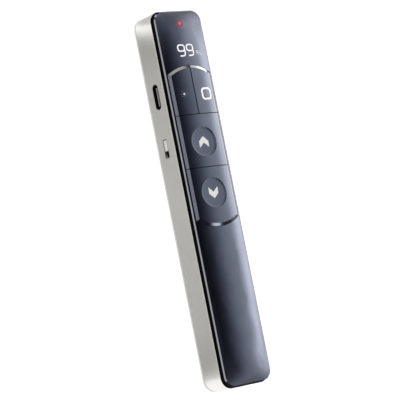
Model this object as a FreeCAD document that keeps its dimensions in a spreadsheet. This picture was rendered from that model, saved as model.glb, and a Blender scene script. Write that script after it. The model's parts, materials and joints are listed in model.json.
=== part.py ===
import FreeCAD, Part
import math
import os
from types import SimpleNamespace

import Sketcher

# Wireless presentation clicker, lying on its back.
# The origin is the middle of the back face. +Z comes out of the button face, +Y points to the nose
# with the laser, and the side with the charging port and the power switch is at -X.
# All lengths are millimetres. Places along the body are measured from its nose or from its tail.

SIZES = {
    # Rear shell
    "body_length": 136.0,
    "body_width": 21.4,
    "shell_height": 10.6,
    "wall": 1.2,
    "corner_radius": 4.3,
    "back_round": 1.0,
    "rim_chamfer": 0.2,
    # Black frame between the shell and the front panel
    "band_height": 1.52,
    "band_inset": 0.4,
    "ring_wall": 0.45,
    "ring_base": 0.4,
    "lip_gap": 0.1,
    "lip_wall": 0.7,
    "lip_depth": 1.4,
    # Crowned front panel
    "panel_inset": 0.44,
    "panel_bevel": 0.38,
    "crown_rise": 1.25,
    "panel_rib_length": 8.0,
    "panel_rib_wall": 0.6,
    "panel_rib_drop": 1.02,
    "panel_rib_from_nose": 12.0,
    "panel_core_width": 12.0,
    "panel_core_depth": 0.48,
    # Button cluster and its well
    "cluster_width": 18.4,
    "cluster_top_from_nose": 20.8,
    "cluster_end_from_nose": 79.2,
    "pair_gap_from_nose": 38.64,
    "rocker_gap_from_nose": 57.85,
    "arch_rise": 2.8,
    "pair_gap_width": 0.4,
    "row_gap_width": 0.26,
    "well_gap": 0.15,
    "button_stand": 0.35,
    "button_crown_radius": 40.0,
    "bevel_width": 1.0,
    "bevel_drop": 0.4,
    "button_wall": 1.1,
    "button_roof": 1.45,
    "tab_reach": 0.45,
    "tab_height": 0.45,
    "tab_inset": 2.0,
    "tab_stop_gap": 0.05,
    "post_radius": 1.6,
    "dish_radius": 5.4,
    "dish_depth": 0.64,
    "dish_rim_drop": 0.58,
    "up_dish_from_nose": 48.74,
    "down_dish_from_nose": 67.22,
    # Press switches on the board
    "press_travel": 0.35,
    "switch_side": 4.5,
    "switch_height": 1.7,
    "plunger_side": 1.9,
    "plunger_sink": 1.0,
    "plunger_height": 0.7,
    "plunger_gap": 0.05,
    "pair_switch_x": 4.6,
    # Circuit board and what stands on it
    "board_drop": 3.4,
    "board_thickness": 1.0,
    "board_side_gap": 0.7,
    "board_from_nose": 3.4,
    "board_end_from_nose": 86.6,
    "chip_side": 5.0,
    "chip_height": 0.9,
    "chip_x": 4.8,
    "chip_from_nose": 58.0,
    "radio_side": 4.0,
    "radio_height": 0.8,
    "crystal_x": 1.2,
    "crystal_length": 3.2,
    "crystal_width": 2.5,
    "crystal_height": 0.75,
    "antenna_length": 5.0,
    "antenna_width": 2.0,
    "antenna_height": 1.1,
    "antenna_from_nose": 84.5,
    # Display and indicator under the panel
    "display_from_nose": 15.3,
    "display_width": 13.0,
    "display_length": 8.4,
    "display_gap": 0.3,
    "digit_width": 4.4,
    "digit_length": 5.8,
    "digit_pitch": 5.2,
    "digit_depth": 0.5,
    "led_from_nose": 5.26,
    "led_length": 1.6,
    "led_width": 1.2,
    "led_height": 0.6,
    "lens_radius": 1.2,
    "lens_flange_radius": 1.8,
    "lens_flange_height": 0.6,
    "lens_gap": 0.05,
    "lens_sink": 0.45,
    # Screws and their bosses
    "screw_radius": 0.8,
    "screw_gap": 0.05,
    "screw_head_radius": 1.5,
    "screw_head_height": 0.8,
    "screw_length": 7.6,
    "boss_radius": 2.0,
    "boss_inset": 2.7,
    "column_radius": 2.2,
    "upper_screw_from_nose": 8.6,
    "middle_screw_from_nose": 83.6,
    "cross_bar_width": 4.4,
    # Charging port
    "port_from_nose": 29.9,
    "port_length": 8.94,
    "port_height": 3.16,
    "port_depth": 7.35,
    "port_sheet": 0.3,
    "port_corner": 1.4,
    "port_recess": 0.3,
    "port_gap": 0.12,
    "tongue_width": 6.7,
    "tongue_length": 4.8,
    "tongue_thickness": 0.7,
    "port_base_width": 5.8,
    "port_base_length": 1.2,
    # Power slide switch
    "power_from_nose": 48.65,
    "power_slot_length": 6.8,
    "power_slot_height": 2.6,
    "power_slot_corner": 0.5,
    "power_travel": 2.3,
    "power_end_gap": 0.3,
    "power_side_gap": 0.12,
    "power_below_board": 2.05,
    "knob_sink": 0.1,
    "knob_depth": 1.3,
    "knob_rib": 0.5,
    "knob_rib_depth": 0.25,
    "stem_length": 1.6,
    "stem_height": 1.2,
    "stem_reach": 1.3,
    "power_body_length": 8.4,
    "power_body_depth": 3.6,
    "power_body_gap": 0.35,
    # Laser module in the nose
    "barrel_radius": 2.0,
    "barrel_length": 10.5,
    "barrel_wall": 0.5,
    "barrel_board_gap": 0.15,
    "barrel_nose_gap": 0.3,
    "barrel_gap": 0.05,
    "collimator_length": 1.6,
    "collimator_from_front": 0.6,
    "window_radius": 1.7,
    "window_gap": 0.05,
    "cradle_width": 6.0,
    "cradle_length": 2.0,
    "cradle_below_axis": 0.8,
    "cradle_from_front": 2.0,
    "driver_width": 3.6,
    "driver_height": 3.4,
    "driver_thickness": 0.8,
    "lead_side": 0.5,
    "lead_pitch": 2.0,
    # Battery
    "battery_width": 11.4,
    "battery_length": 38.0,
    "battery_side_gap": 1.4,
    "battery_top_gap": 0.5,
    "battery_round": 1.0,
    "battery_gap": 1.0,
    "pad_inset": 1.5,
    "pad_height": 0.3,
    "cell_tab_width": 2.0,
    "cell_tab_height": 0.2,
    "cell_tab_pitch": 5.0,
    "cell_tab_lap": 2.0,
    # Receiver and its bay in the tail
    "receiver_shoulder": 1.0,
    "receiver_height": 6.0,
    "receiver_length": 5.6,
    "receiver_corner": 1.4,
    "receiver_sink": 0.15,
    "receiver_gap": 0.15,
    "receiver_grip_depth": 0.5,
    "receiver_grip_length": 0.8,
    "bay_wall": 0.85,
    "bay_end_gap": 0.4,
    "plug_width": 12.0,
    "plug_height": 4.5,
    "plug_length": 12.0,
    "plug_sheet": 0.3,
    "plug_tongue_height": 1.9,
    "plug_tongue_gap": 0.4,
    "magnet_width": 6.0,
    "magnet_height": 4.0,
    "magnet_thickness": 1.2,
    "magnet_gap": 0.3,
    # Shared by every cut and every choice of edges
    "overrun": 1.0,
    "edge_tolerance": 0.02,
}

# Exponent of the crown's fall towards the two ends, the slope of the panel's bevel in degrees,
# and the grid that the crown passes through
END_FALL_POWER = 14
BEVEL_ANGLE = 45
CROWN_COLUMNS = 9
CROWN_ROWS = 33

doc = FreeCAD.newDocument("PresentationClicker")
sheet = doc.addObject("Spreadsheet::Sheet", "Sizes")
for row, (alias, number) in enumerate(SIZES.items(), start=1):
    sheet.set("A%d" % row, alias)
    sheet.set("B%d" % row, str(number))
    sheet.setAlias("B%d" % row, alias)
doc.recompute()


class Size:
    """A length together with the sheet formula that gives it."""

    def __init__(self, number, formula):
        self.number = number
        self.formula = formula

    @staticmethod
    def of(other):
        return other if isinstance(other, Size) else Size(other, repr(other))

    def __add__(self, other):
        other = Size.of(other)
        return Size(self.number + other.number, "(%s + %s)" % (self.formula, other.formula))

    def __sub__(self, other):
        other = Size.of(other)
        return Size(self.number - other.number, "(%s - %s)" % (self.formula, other.formula))

    def __mul__(self, other):
        other = Size.of(other)
        return Size(self.number * other.number, "(%s * %s)" % (self.formula, other.formula))

    def __truediv__(self, other):
        other = Size.of(other)
        return Size(self.number / other.number, "(%s / %s)" % (self.formula, other.formula))

    def __neg__(self):
        return Size(-self.number, "(0 - %s)" % self.formula)


s = SimpleNamespace(**{alias: Size(number, "Sizes." + alias) for alias, number in SIZES.items()})
ZERO = Size(0, "0")

# Heights and places that several pieces share
half_width = s.body_width / 2
nose = s.body_length / 2
tail = -nose
inner_half = half_width - s.wall
band_top = s.shell_height + s.band_height
ring_floor = s.shell_height + s.ring_base
panel_rim = band_top + s.panel_bevel
panel_crest = panel_rim + s.crown_rise
button_crest = panel_crest + s.button_stand
board_low = s.shell_height - s.board_drop
board_top = board_low + s.board_thickness
laser_height = board_low - s.barrel_board_gap - s.barrel_radius
power_height = board_low - s.power_below_board
receiver_centre = s.wall + s.bay_wall + s.receiver_gap + s.receiver_height / 2
switch_top = board_top + s.switch_height
plunger_top = switch_top + s.plunger_height
cluster_half = s.cluster_width / 2
cluster_top = nose - s.cluster_top_from_nose
cluster_end = nose - s.cluster_end_from_nose
pair_gap = nose - s.pair_gap_from_nose
rocker_gap = nose - s.rocker_gap_from_nose
arch_radius = (cluster_half * cluster_half + s.arch_rise * s.arch_rise) / (s.arch_rise * 2)
receiver_width = s.plug_width + s.receiver_shoulder * 2
bay_half = receiver_width / 2 + s.receiver_gap + s.bay_wall
bay_front = tail + s.wall + s.receiver_length + s.plug_length + s.bay_end_gap
boss_x = inner_half - s.boss_inset
tail_screw_y = bay_front + s.bay_wall + s.magnet_thickness + s.magnet_gap + s.boss_radius
board_end = nose - s.board_end_from_nose
board_screws = [
    (boss_x * side, nose - distance)
    for distance in (s.upper_screw_from_nose, s.middle_screw_from_nose) for side in (-1, 1)
]
tail_screw = (ZERO, tail_screw_y)


def bind(item, path, size):
    """Ties one property of a document object to its sheet formula."""
    item.setExpression(path, Size.of(size).formula)


def place(item, x, y, z):
    """Ties an object's position to sheet formulas."""
    for axis, size in zip("xyz", (x, y, z)):
        bind(item, "Placement.Base." + axis, size)
    return item


def box(name, x, y, z):
    """A block between two sizes along each axis."""
    block = doc.addObject("Part::Box", name)
    for side, (low, high) in zip(("Length", "Width", "Height"), (x, y, z)):
        bind(block, side, high - low)
    return place(block, x[0], y[0], z[0])


def cylinder(name, radius, length, x, y, z, axis="z"):
    """A round bar that starts at a point and runs along +Z or +Y."""
    bar = doc.addObject("Part::Cylinder", name)
    bind(bar, "Radius", radius)
    bind(bar, "Height", length)
    if axis == "y":
        bar.Placement.Rotation = FreeCAD.Rotation(FreeCAD.Vector(1, 0, 0), -90)
    return place(bar, x, y, z)


def joined(label, pieces):
    """One solid, or one group of solids, from several."""
    whole = doc.addObject("Part::MultiFuse", label)
    whole.Shapes = pieces
    whole.Label = label
    return whole


def cut(label, base, tools):
    """A solid less one or more others."""
    tool = tools[0] if len(tools) == 1 else joined(label + "_cutters", tools)
    result = doc.addObject("Part::Cut", label)
    result.Base = base
    result.Tool = tool
    result.Label = label
    return result


def new_body(label):
    body = doc.addObject("PartDesign::Body", label)
    body.Label = label
    return body


def new_sketch(body, name, role, offset):
    """A sketch on one of the body's own origin planes, moved along that plane's normal."""
    sketch = body.newObject("Sketcher::SketchObject", body.Label + "_" + name)
    support = [item for item in body.Origin.OriginFeatures if item.Role == role][0]
    sketch.AttachmentSupport = (support, [""])
    sketch.MapMode = "FlatFace"
    bind(sketch, "AttachmentOffset.Base.z", offset)
    return sketch


def constrain(sketch, kind, *where_and_size):
    """Adds a dimension and ties it to its sheet formula."""
    where, size = where_and_size[:-1], where_and_size[-1]
    index = sketch.addConstraint(Sketcher.Constraint(kind, *where, size.number))
    bind(sketch, "Constraints[%d]" % index, size)


def pin(sketch, item, point, x, y):
    constrain(sketch, "DistanceX", item, point, x)
    constrain(sketch, "DistanceY", item, point, y)


def draw_polygon(sketch, corners):
    """Closed straight outline through the given corners."""
    first = sketch.GeometryCount
    points = [FreeCAD.Vector(x.number, y.number, 0) for x, y in corners]
    for start, end in zip(points, points[1:] + points[:1]):
        sketch.addGeometry(Part.LineSegment(start, end), False)
    for step, (x, y) in enumerate(corners):
        following = first + (step + 1) % len(corners)
        sketch.addConstraint(Sketcher.Constraint("Coincident", first + step, 2, following, 1))
        pin(sketch, first + step, 1, x, y)


def draw_rectangle(sketch, x, y):
    draw_polygon(sketch, [(x[0], y[0]), (x[1], y[0]), (x[1], y[1]), (x[0], y[1])])


def draw_rounded(sketch, x, y, radius):
    """Rectangle whose four corners are quarter circles."""
    near_x, far_x = x[0] + radius, x[1] - radius
    near_y, far_y = y[0] + radius, y[1] - radius
    sides = [
        ((near_x, y[0]), (far_x, y[0])),
        ((x[1], near_y), (x[1], far_y)),
        ((far_x, y[1]), (near_x, y[1])),
        ((x[0], far_y), (x[0], near_y)),
    ]
    centres = [(far_x, near_y), (far_x, far_y), (near_x, far_y), (near_x, near_y)]
    first = sketch.GeometryCount
    for start, end in sides:
        points = [FreeCAD.Vector(a.number, b.number, 0) for a, b in (start, end)]
        sketch.addGeometry(Part.LineSegment(*points), False)
    for step, (a, b) in enumerate(centres):
        centre = FreeCAD.Vector(a.number, b.number, 0)
        circle = Part.Circle(centre, FreeCAD.Vector(0, 0, 1), radius.number)
        turn = math.pi / 2 * (step - 1)
        sketch.addGeometry(Part.ArcOfCircle(circle, turn, turn + math.pi / 2), False)
    for step, (start, end) in enumerate(sides):
        pin(sketch, first + step, 1, *start)
        pin(sketch, first + step, 2, *end)
        arc = first + len(sides) + step
        following = first + (step + 1) % len(sides)
        sketch.addConstraint(Sketcher.Constraint("Coincident", arc, 1, first + step, 2))
        sketch.addConstraint(Sketcher.Constraint("Coincident", arc, 2, following, 1))
        constrain(sketch, "Radius", arc, radius)


def draw_circle(sketch, radius, x, y):
    centre = FreeCAD.Vector(x.number, y.number, 0)
    index = sketch.addGeometry(Part.Circle(centre, FreeCAD.Vector(0, 0, 1), radius.number), False)
    pin(sketch, index, 3, x, y)
    constrain(sketch, "Radius", index, radius)


def draw_crowned(sketch, left, right, bottom, crest, radius):
    """Flat bottom, upright sides and a top that is one arc about the middle line."""
    centre_height = crest - radius

    def arc_angle(x):
        return math.atan2(math.sqrt(radius.number ** 2 - x.number ** 2), x.number)

    def on_arc(x):
        lift = radius.number * math.sin(arc_angle(x))
        return FreeCAD.Vector(x.number, centre_height.number + lift, 0)

    low_left = FreeCAD.Vector(left.number, bottom.number, 0)
    low_right = FreeCAD.Vector(right.number, bottom.number, 0)
    circle = Part.Circle(FreeCAD.Vector(0, centre_height.number, 0), FreeCAD.Vector(0, 0, 1), radius.number)
    # both sides come before the top, so that a bevel's two distances fall alike on the two sides
    sketch.addGeometry(Part.LineSegment(on_arc(left), low_left), False)
    sketch.addGeometry(Part.LineSegment(low_left, low_right), False)
    sketch.addGeometry(Part.LineSegment(low_right, on_arc(right)), False)
    sketch.addGeometry(Part.ArcOfCircle(circle, arc_angle(right), arc_angle(left)), False)
    for first, second in ((0, 1), (1, 2), (2, 3), (3, 0)):
        sketch.addConstraint(Sketcher.Constraint("Coincident", first, 2, second, 1))
    pin(sketch, 1, 1, left, bottom)
    pin(sketch, 1, 2, right, bottom)
    constrain(sketch, "DistanceX", 3, 1, right)
    constrain(sketch, "DistanceX", 3, 2, left)
    pin(sketch, 3, 3, ZERO, centre_height)
    constrain(sketch, "Radius", 3, radius)


def draw_arched(sketch, half, low_centre, high_centre, radius):
    """Upright sides at half a width each way, joined by an arc about each of two centres."""
    reach = math.acos(half.number / radius.number)
    rise = radius.number * math.sin(reach)
    low = low_centre.number - rise
    high = high_centre.number + rise
    upright = FreeCAD.Vector(0, 0, 1)
    low_circle = Part.Circle(FreeCAD.Vector(0, low_centre.number, 0), upright, radius.number)
    high_circle = Part.Circle(FreeCAD.Vector(0, high_centre.number, 0), upright, radius.number)
    corners = [FreeCAD.Vector(x, y, 0) for x, y in (
        (half.number, low), (half.number, high), (-half.number, high), (-half.number, low))]
    sketch.addGeometry(Part.LineSegment(corners[0], corners[1]), False)
    sketch.addGeometry(Part.ArcOfCircle(high_circle, reach, math.pi - reach), False)
    sketch.addGeometry(Part.LineSegment(corners[2], corners[3]), False)
    sketch.addGeometry(Part.ArcOfCircle(low_circle, math.pi + reach, math.pi * 2 - reach), False)
    for first, second in ((0, 1), (1, 2), (2, 3), (3, 0)):
        sketch.addConstraint(Sketcher.Constraint("Coincident", first, 2, second, 1))
    for line, x in ((0, half), (2, -half)):
        for point in (1, 2):
            constrain(sketch, "DistanceX", line, point, x)
    for arc, centre in ((1, high_centre), (3, low_centre)):
        pin(sketch, arc, 3, ZERO, centre)
        constrain(sketch, "Radius", arc, radius)


def pad(body, sketch, length, reverse=False):
    feature = body.newObject("PartDesign::Pad", sketch.Label + "_pad")
    feature.Profile = sketch
    bind(feature, "Length", length)
    feature.Reversed = reverse
    sketch.Visibility = False
    return feature


def pocket(body, sketch, length, reverse=False):
    """Cuts away from the sketch against its normal, and checks that something was cut."""
    doc.recompute()
    before = body.Shape.Volume
    feature = body.newObject("PartDesign::Pocket", sketch.Label + "_pocket")
    feature.Profile = sketch
    bind(feature, "Length", length)
    feature.Reversed = reverse
    doc.recompute()
    if body.Shape.Volume >= before:
        raise ValueError("nothing was cut by " + sketch.Label)
    return feature


def edge_names(shape, x, y, z, along=None):
    """Names of the edges that lie inside a block, if asked only those along one axis."""
    margin = s.edge_tolerance.number
    names = []
    for index, edge in enumerate(shape.Edges, start=1):
        bounds = edge.BoundBox
        spans = (
            (bounds.XMin, bounds.XMax, x),
            (bounds.YMin, bounds.YMax, y),
            (bounds.ZMin, bounds.ZMax, z),
        )
        inside = all(
            low >= limits[0].number - margin and high <= limits[1].number + margin
            for low, high, limits in spans
        )
        lengths = {"x": bounds.XLength, "y": bounds.YLength, "z": bounds.ZLength}
        straight = along is None or all(
            (span > margin) == (axis == along) for axis, span in lengths.items()
        )
        if inside and straight:
            names.append("Edge%d" % index)
    return names


def rounded(body, name, radius, x, y, z, along=None):
    """Rounds the body's edges inside a block."""
    doc.recompute()
    base = body.Tip
    feature = body.newObject("PartDesign::Fillet", body.Label + "_" + name)
    feature.Base = (base, edge_names(base.Shape, x, y, z, along))
    bind(feature, "Radius", radius)
    doc.recompute()
    return feature


def bevelled(body, name, across, down, x, y, z):
    """Bevels the body's edges inside a block by a width across and a width down."""
    doc.recompute()
    base = body.Tip
    feature = body.newObject("PartDesign::Chamfer", body.Label + "_" + name)
    feature.Base = (base, edge_names(base.Shape, x, y, z))
    feature.ChamferType = "Two distances"
    bind(feature, "Size", across)
    bind(feature, "Size2", down)
    doc.recompute()
    return feature


nodes = []


def keep(item):
    """Lists a finished piece under its label."""
    nodes.append(item)
    return item


whole_x = (-half_width, half_width)
whole_y = (tail, nose)


# Rear shell: a tray with upright walls, a rounded back edge and openings in three walls
def make_rear_shell():
    body = new_body("rear_shell")
    plan = new_sketch(body, "plan", "XY_Plane", ZERO)
    draw_rounded(plan, whole_x, whole_y, s.corner_radius)
    pad(body, plan, s.shell_height)
    rounded(body, "back_edge", s.back_round, whole_x, whole_y, (ZERO, ZERO))
    bevelled(body, "rim", s.rim_chamfer, s.rim_chamfer, whole_x, whole_y, (s.shell_height, s.shell_height))

    hollow = new_sketch(body, "hollow", "XY_Plane", s.shell_height)
    inner_x = (-inner_half, inner_half)
    inner_y = (tail + s.wall, nose - s.wall)
    draw_rounded(hollow, inner_x, inner_y, s.corner_radius - s.wall)
    pocket(body, hollow, s.shell_height - s.wall)

    for name, places, height in (("board", board_screws, board_low), ("tail", [tail_screw], board_top)):
        bosses = new_sketch(body, name + "_bosses", "XY_Plane", s.wall)
        holes = new_sketch(body, name + "_boss_holes", "XY_Plane", height)
        for x, y in places:
            draw_circle(bosses, s.boss_radius, x, y)
            draw_circle(holes, s.screw_radius + s.screw_gap, x, y)
        pad(body, bosses, height - s.wall)
        pocket(body, holes, height - s.wall)

    barrel_front = nose - s.wall - s.barrel_nose_gap
    cradles = new_sketch(body, "cradles", "XY_Plane", s.wall)
    cradle_x = (-s.cradle_width / 2, s.cradle_width / 2)
    for front in (barrel_front - s.cradle_from_front, barrel_front - s.barrel_length + s.cradle_length):
        draw_rectangle(cradles, cradle_x, (front - s.cradle_length, front))
    pad(body, cradles, laser_height - s.cradle_below_axis - s.wall)
    seat = new_sketch(body, "barrel_seat", "XZ_Plane", -(barrel_front - s.barrel_length - s.overrun))
    draw_circle(seat, s.barrel_radius + s.barrel_gap, ZERO, laser_height)
    pocket(body, seat, s.barrel_length + s.overrun)
    beam = new_sketch(body, "beam_hole", "XZ_Plane", -(nose - s.wall - s.overrun))
    draw_circle(beam, s.window_radius + s.window_gap, ZERO, laser_height)
    pocket(body, beam, s.wall + s.overrun * 2)

    port_y = nose - s.port_from_nose
    port_z = board_low - s.port_height / 2
    port_half = s.port_length / 2 + s.port_gap
    port_rise = s.port_height / 2 + s.port_gap
    port = new_sketch(body, "port", "YZ_Plane", -inner_half + s.overrun)
    port_span = (port_y - port_half, port_y + port_half)
    port_lift = (port_z - port_rise, port_z + port_rise)
    draw_rounded(port, port_span, port_lift, s.port_corner + s.port_gap)
    pocket(body, port, s.wall + s.overrun * 2)

    slot_y = nose - s.power_from_nose
    slot = new_sketch(body, "power_slot", "YZ_Plane", -inner_half + s.overrun)
    slot_span = (slot_y - s.power_slot_length / 2, slot_y + s.power_slot_length / 2)
    slot_lift = (power_height - s.power_slot_height / 2, power_height + s.power_slot_height / 2)
    draw_rounded(slot, slot_span, slot_lift, s.power_slot_corner)
    pocket(body, slot, s.wall + s.overrun * 2)

    mouth = new_sketch(body, "receiver_mouth", "XZ_Plane", -(tail - s.overrun))
    mouth_half = receiver_width / 2 + s.receiver_gap
    mouth_rise = s.receiver_height / 2 + s.receiver_gap
    mouth_x = (-mouth_half, mouth_half)
    mouth_z = (receiver_centre - mouth_rise, receiver_centre + mouth_rise)
    draw_rounded(mouth, mouth_x, mouth_z, s.receiver_corner + s.receiver_gap)
    pocket(body, mouth, s.wall + s.overrun * 2)
    keep(body)


# Black frame: a ring that shows as a band, a lip inside the shell, a cross bar, and a column over each boss
def make_mid_frame():
    body = new_body("mid_frame")
    outer = half_width - s.band_inset
    outer_x = (-outer, outer)
    outer_y = (tail + s.band_inset, nose - s.band_inset)
    plan = new_sketch(body, "plan", "XY_Plane", s.shell_height)
    draw_rounded(plan, outer_x, outer_y, s.corner_radius - s.band_inset)
    pad(body, plan, s.band_height)

    lip_inset = s.wall + s.lip_gap
    lip_x = (-half_width + lip_inset, half_width - lip_inset)
    lip_y = (tail + lip_inset, nose - lip_inset)
    lip = new_sketch(body, "lip", "XY_Plane", s.shell_height - s.lip_depth)
    draw_rounded(lip, lip_x, lip_y, s.corner_radius - lip_inset)
    pad(body, lip, s.lip_depth)

    upper_inset = s.band_inset + s.ring_wall
    upper_x = (-half_width + upper_inset, half_width - upper_inset)
    upper_y = (tail + upper_inset, nose - upper_inset)
    upper = new_sketch(body, "upper_opening", "XY_Plane", band_top)
    draw_rounded(upper, upper_x, upper_y, s.corner_radius - upper_inset)
    pocket(body, upper, s.band_height - s.ring_base)

    lower_inset = lip_inset + s.lip_wall
    lower_x = (-half_width + lower_inset, half_width - lower_inset)
    lower_y = (tail + lower_inset, nose - lower_inset)
    lower = new_sketch(body, "lower_opening", "XY_Plane", ring_floor)
    draw_rounded(lower, lower_x, lower_y, s.corner_radius - lower_inset)
    pocket(body, lower, s.ring_base + s.lip_depth)

    bar = new_sketch(body, "cross_bar", "XY_Plane", s.shell_height - s.lip_depth)
    bar_half = s.cross_bar_width / 2
    draw_rectangle(bar, lip_x, (tail_screw_y - bar_half, tail_screw_y + bar_half))
    pad(body, bar, ring_floor - s.shell_height + s.lip_depth)
    columns = new_sketch(body, "columns", "XY_Plane", board_top)
    holes = new_sketch(body, "column_holes", "XY_Plane", ring_floor)
    for x, y in board_screws + [tail_screw]:
        draw_circle(columns, s.column_radius, x, y)
        draw_circle(holes, s.screw_radius + s.screw_gap, x, y)
    pad(body, columns, ring_floor - board_top)
    pocket(body, holes, ring_floor - board_top)
    keep(body)


# The well of the button cluster, grown by a gap: straight sides with an arch at each end
def make_well_cutter():
    body = new_body("button_well")
    plan = new_sketch(body, "plan", "XY_Plane", band_top - s.overrun)
    low_centre = cluster_end + arch_radius
    high_centre = cluster_top - arch_radius
    draw_arched(plan, cluster_half + s.well_gap, low_centre, high_centre, arch_radius + s.well_gap)
    pad(body, plan, button_crest - band_top + s.overrun * 2)
    return body


# Crown of the front panel: a smooth surface, level along the rim and highest on the middle line
def make_crown():
    reach_x = half_width.number + s.overrun.number
    reach_y = nose.number + s.overrun.number
    rim_x = half_width.number - s.panel_inset.number - s.panel_bevel.number
    rim_y = nose.number - s.panel_inset.number - s.panel_bevel.number

    def height(x, y):
        across = 1 - (x / rim_x) ** 2
        along = 1 - abs(y / rim_y) ** END_FALL_POWER
        return panel_rim.number + s.crown_rise.number * across * along

    grid = []
    for column in range(CROWN_COLUMNS):
        x = reach_x * (2 * column / (CROWN_COLUMNS - 1) - 1)
        line = []
        for row in range(CROWN_ROWS):
            # rows stand closer together near the two ends, where the crown falls to the rim
            y = reach_y * math.sin(math.pi / 2 * (2 * row / (CROWN_ROWS - 1) - 1))
            line.append(FreeCAD.Vector(x, y, height(x, y)))
        grid.append(line)
    surface = Part.BSplineSurface()
    surface.interpolate(grid)
    crown = doc.addObject("Part::Feature", "panel_crown")
    depth = panel_crest.number
    crown.Shape = surface.toShape().extrude(FreeCAD.Vector(0, 0, -depth))
    return crown


# Front panel: crowned, with a bevel all round, the button well and a flat underside with ribs
def make_front_panel():
    blank = new_body("panel_blank")
    inset_x = (-half_width + s.panel_inset, half_width - s.panel_inset)
    inset_y = (tail + s.panel_inset, nose - s.panel_inset)
    plan = new_sketch(blank, "plan", "XY_Plane", band_top)
    draw_rounded(plan, inset_x, inset_y, s.corner_radius - s.panel_inset)
    height = panel_crest - band_top + s.overrun
    pad(blank, plan, height).TaperAngle = -BEVEL_ANGLE
    crowned = doc.addObject("Part::Common", "panel_crowned")
    crowned.Base = blank
    crowned.Tool = make_crown()

    lens_y = nose - s.led_from_nose
    hole_radius = s.lens_radius + s.lens_gap
    lens_hole = cylinder("lens_hole", hole_radius, height + s.overrun, ZERO, lens_y, band_top - s.overrun)
    core_x = (-s.panel_core_width / 2, s.panel_core_width / 2)
    core_y = (tail + s.corner_radius, cluster_end - s.corner_radius)
    core_z = (band_top - s.overrun, band_top + s.panel_core_depth)
    core = box("tail_core", core_x, core_y, core_z)
    display_half = s.display_length / 2 + s.display_gap
    display_y = nose - s.display_from_nose
    window = box("display_recess", core_x, (display_y - display_half, display_y + display_half), core_z)
    opened = cut("panel_opened", crowned, [make_well_cutter(), lens_hole, core, window])

    rib_outer = half_width - s.band_inset - s.ring_wall - s.lip_gap
    reach = s.panel_rib_from_nose
    pieces = [opened]
    for row, y in enumerate([nose - reach, cluster_end - reach, tail + reach]):
        span = (y - s.panel_rib_length / 2, y + s.panel_rib_length / 2)
        for side, x in (("left", (-rib_outer, -rib_outer + s.panel_rib_wall)),
                        ("right", (rib_outer - s.panel_rib_wall, rib_outer))):
            name = "panel_rib_%s_%d" % (side, row)
            pieces.append(box(name, x, span, (band_top - s.panel_rib_drop, band_top)))
    keep(joined("front_panel", pieces))


# One button: crowned cap with bevelled outer edges, hollow below, with a post and retaining tabs
def make_button(label, x, y, arch, post, tab_sides, dish):
    body = new_body(label if dish is None else label + "_cap")
    bottom = band_top - s.tab_stop_gap - s.tab_height
    profile = new_sketch(body, "profile", "XZ_Plane", -y[0])
    draw_crowned(profile, x[0], x[1], bottom, button_crest, s.button_crown_radius)
    pad(body, profile, y[1] - y[0], reverse=True)
    if arch is not None:
        outside = new_sketch(body, "arch", "XY_Plane", button_crest + s.overrun)
        draw_circle(outside, arch_radius, ZERO, arch)
        draw_circle(outside, arch_radius * 2, ZERO, arch)
        pocket(body, outside, button_crest - bottom + s.overrun * 2)

    # the bevel runs along the outer sides and round the arch, not along the gaps between buttons
    doc.recompute()
    for turn in range(len(tab_sides) + 1):
        upright, turned = upper_edges(body.Tip.Shape, arch)
        if not upright and not turned:
            break
        base = body.Tip
        feature = body.newObject("PartDesign::Chamfer", "%s_bevel_%d" % (label, turn))
        feature.Base = (base, upright or turned)
        feature.ChamferType = "Two distances"
        feature.FlipDirection = not upright
        bind(feature, "Size", s.bevel_drop)
        bind(feature, "Size2", s.bevel_width)
        doc.recompute()

    inside_x = (x[0] + s.button_wall, x[1] - s.button_wall)
    end_wall = s.button_wall + (s.arch_rise if arch is not None else ZERO)
    faces_nose = arch is not None and y[1].number == cluster_top.number
    low_wall = s.button_wall if (arch is None or faces_nose) else end_wall
    high_wall = end_wall if faces_nose else s.button_wall
    inside_y = (y[0] + low_wall, y[1] - high_wall)
    hollow = new_sketch(body, "hollow", "XY_Plane", bottom)
    draw_rectangle(hollow, inside_x, inside_y)
    edge_lift = button_crest - s.bevel_drop - s.button_roof
    pocket(body, hollow, edge_lift - bottom, reverse=True)

    pillar = new_sketch(body, "post", "XY_Plane", plunger_top)
    draw_circle(pillar, s.post_radius, post[0], post[1])
    pad(body, pillar, edge_lift - plunger_top)

    tabs = new_sketch(body, "tabs", "XY_Plane", bottom)
    for side in tab_sides:
        edge = cluster_half * side
        outer = (cluster_half + s.tab_reach) * side
        tab_x = (outer, edge) if side < 0 else (edge, outer)
        draw_rectangle(tabs, tab_x, (inside_y[0] + s.tab_inset, inside_y[1] - s.tab_inset))
    pad(body, tabs, s.tab_height)

    keep(body if dish is None else cut(label, body, [make_dish(label, dish)]))


def upper_edges(shape, arch):
    """Edges where the crown meets an outer side or the arch, and those of them that list the crown first."""
    margin = s.edge_tolerance.number
    listed = {True: [], False: []}
    crowns = [face for face in shape.Faces if is_crown(face)]
    for index, edge in enumerate(shape.Edges, start=1):
        if not any(edge.isSame(other) for crown in crowns for other in crown.Edges):
            continue
        middle = edge.valueAt((edge.FirstParameter + edge.LastParameter) / 2)
        on_side = abs(abs(middle.x) - cluster_half.number) < margin
        on_arch = False
        if arch is not None:
            on_arch = abs(math.hypot(middle.x, middle.y - arch.number) - arch_radius.number) < margin
        if on_side or on_arch:
            first = [face for face in shape.Faces if any(edge.isSame(other) for other in face.Edges)][0]
            listed[is_crown(first)].append("Edge%d" % index)
    return listed[False], listed[True]


def is_crown(face):
    """Whether a face is part of the arc about the middle line."""
    surface = face.Surface
    radius = getattr(surface, "Radius", 0)
    return abs(radius - s.button_crown_radius.number) < s.edge_tolerance.number


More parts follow.
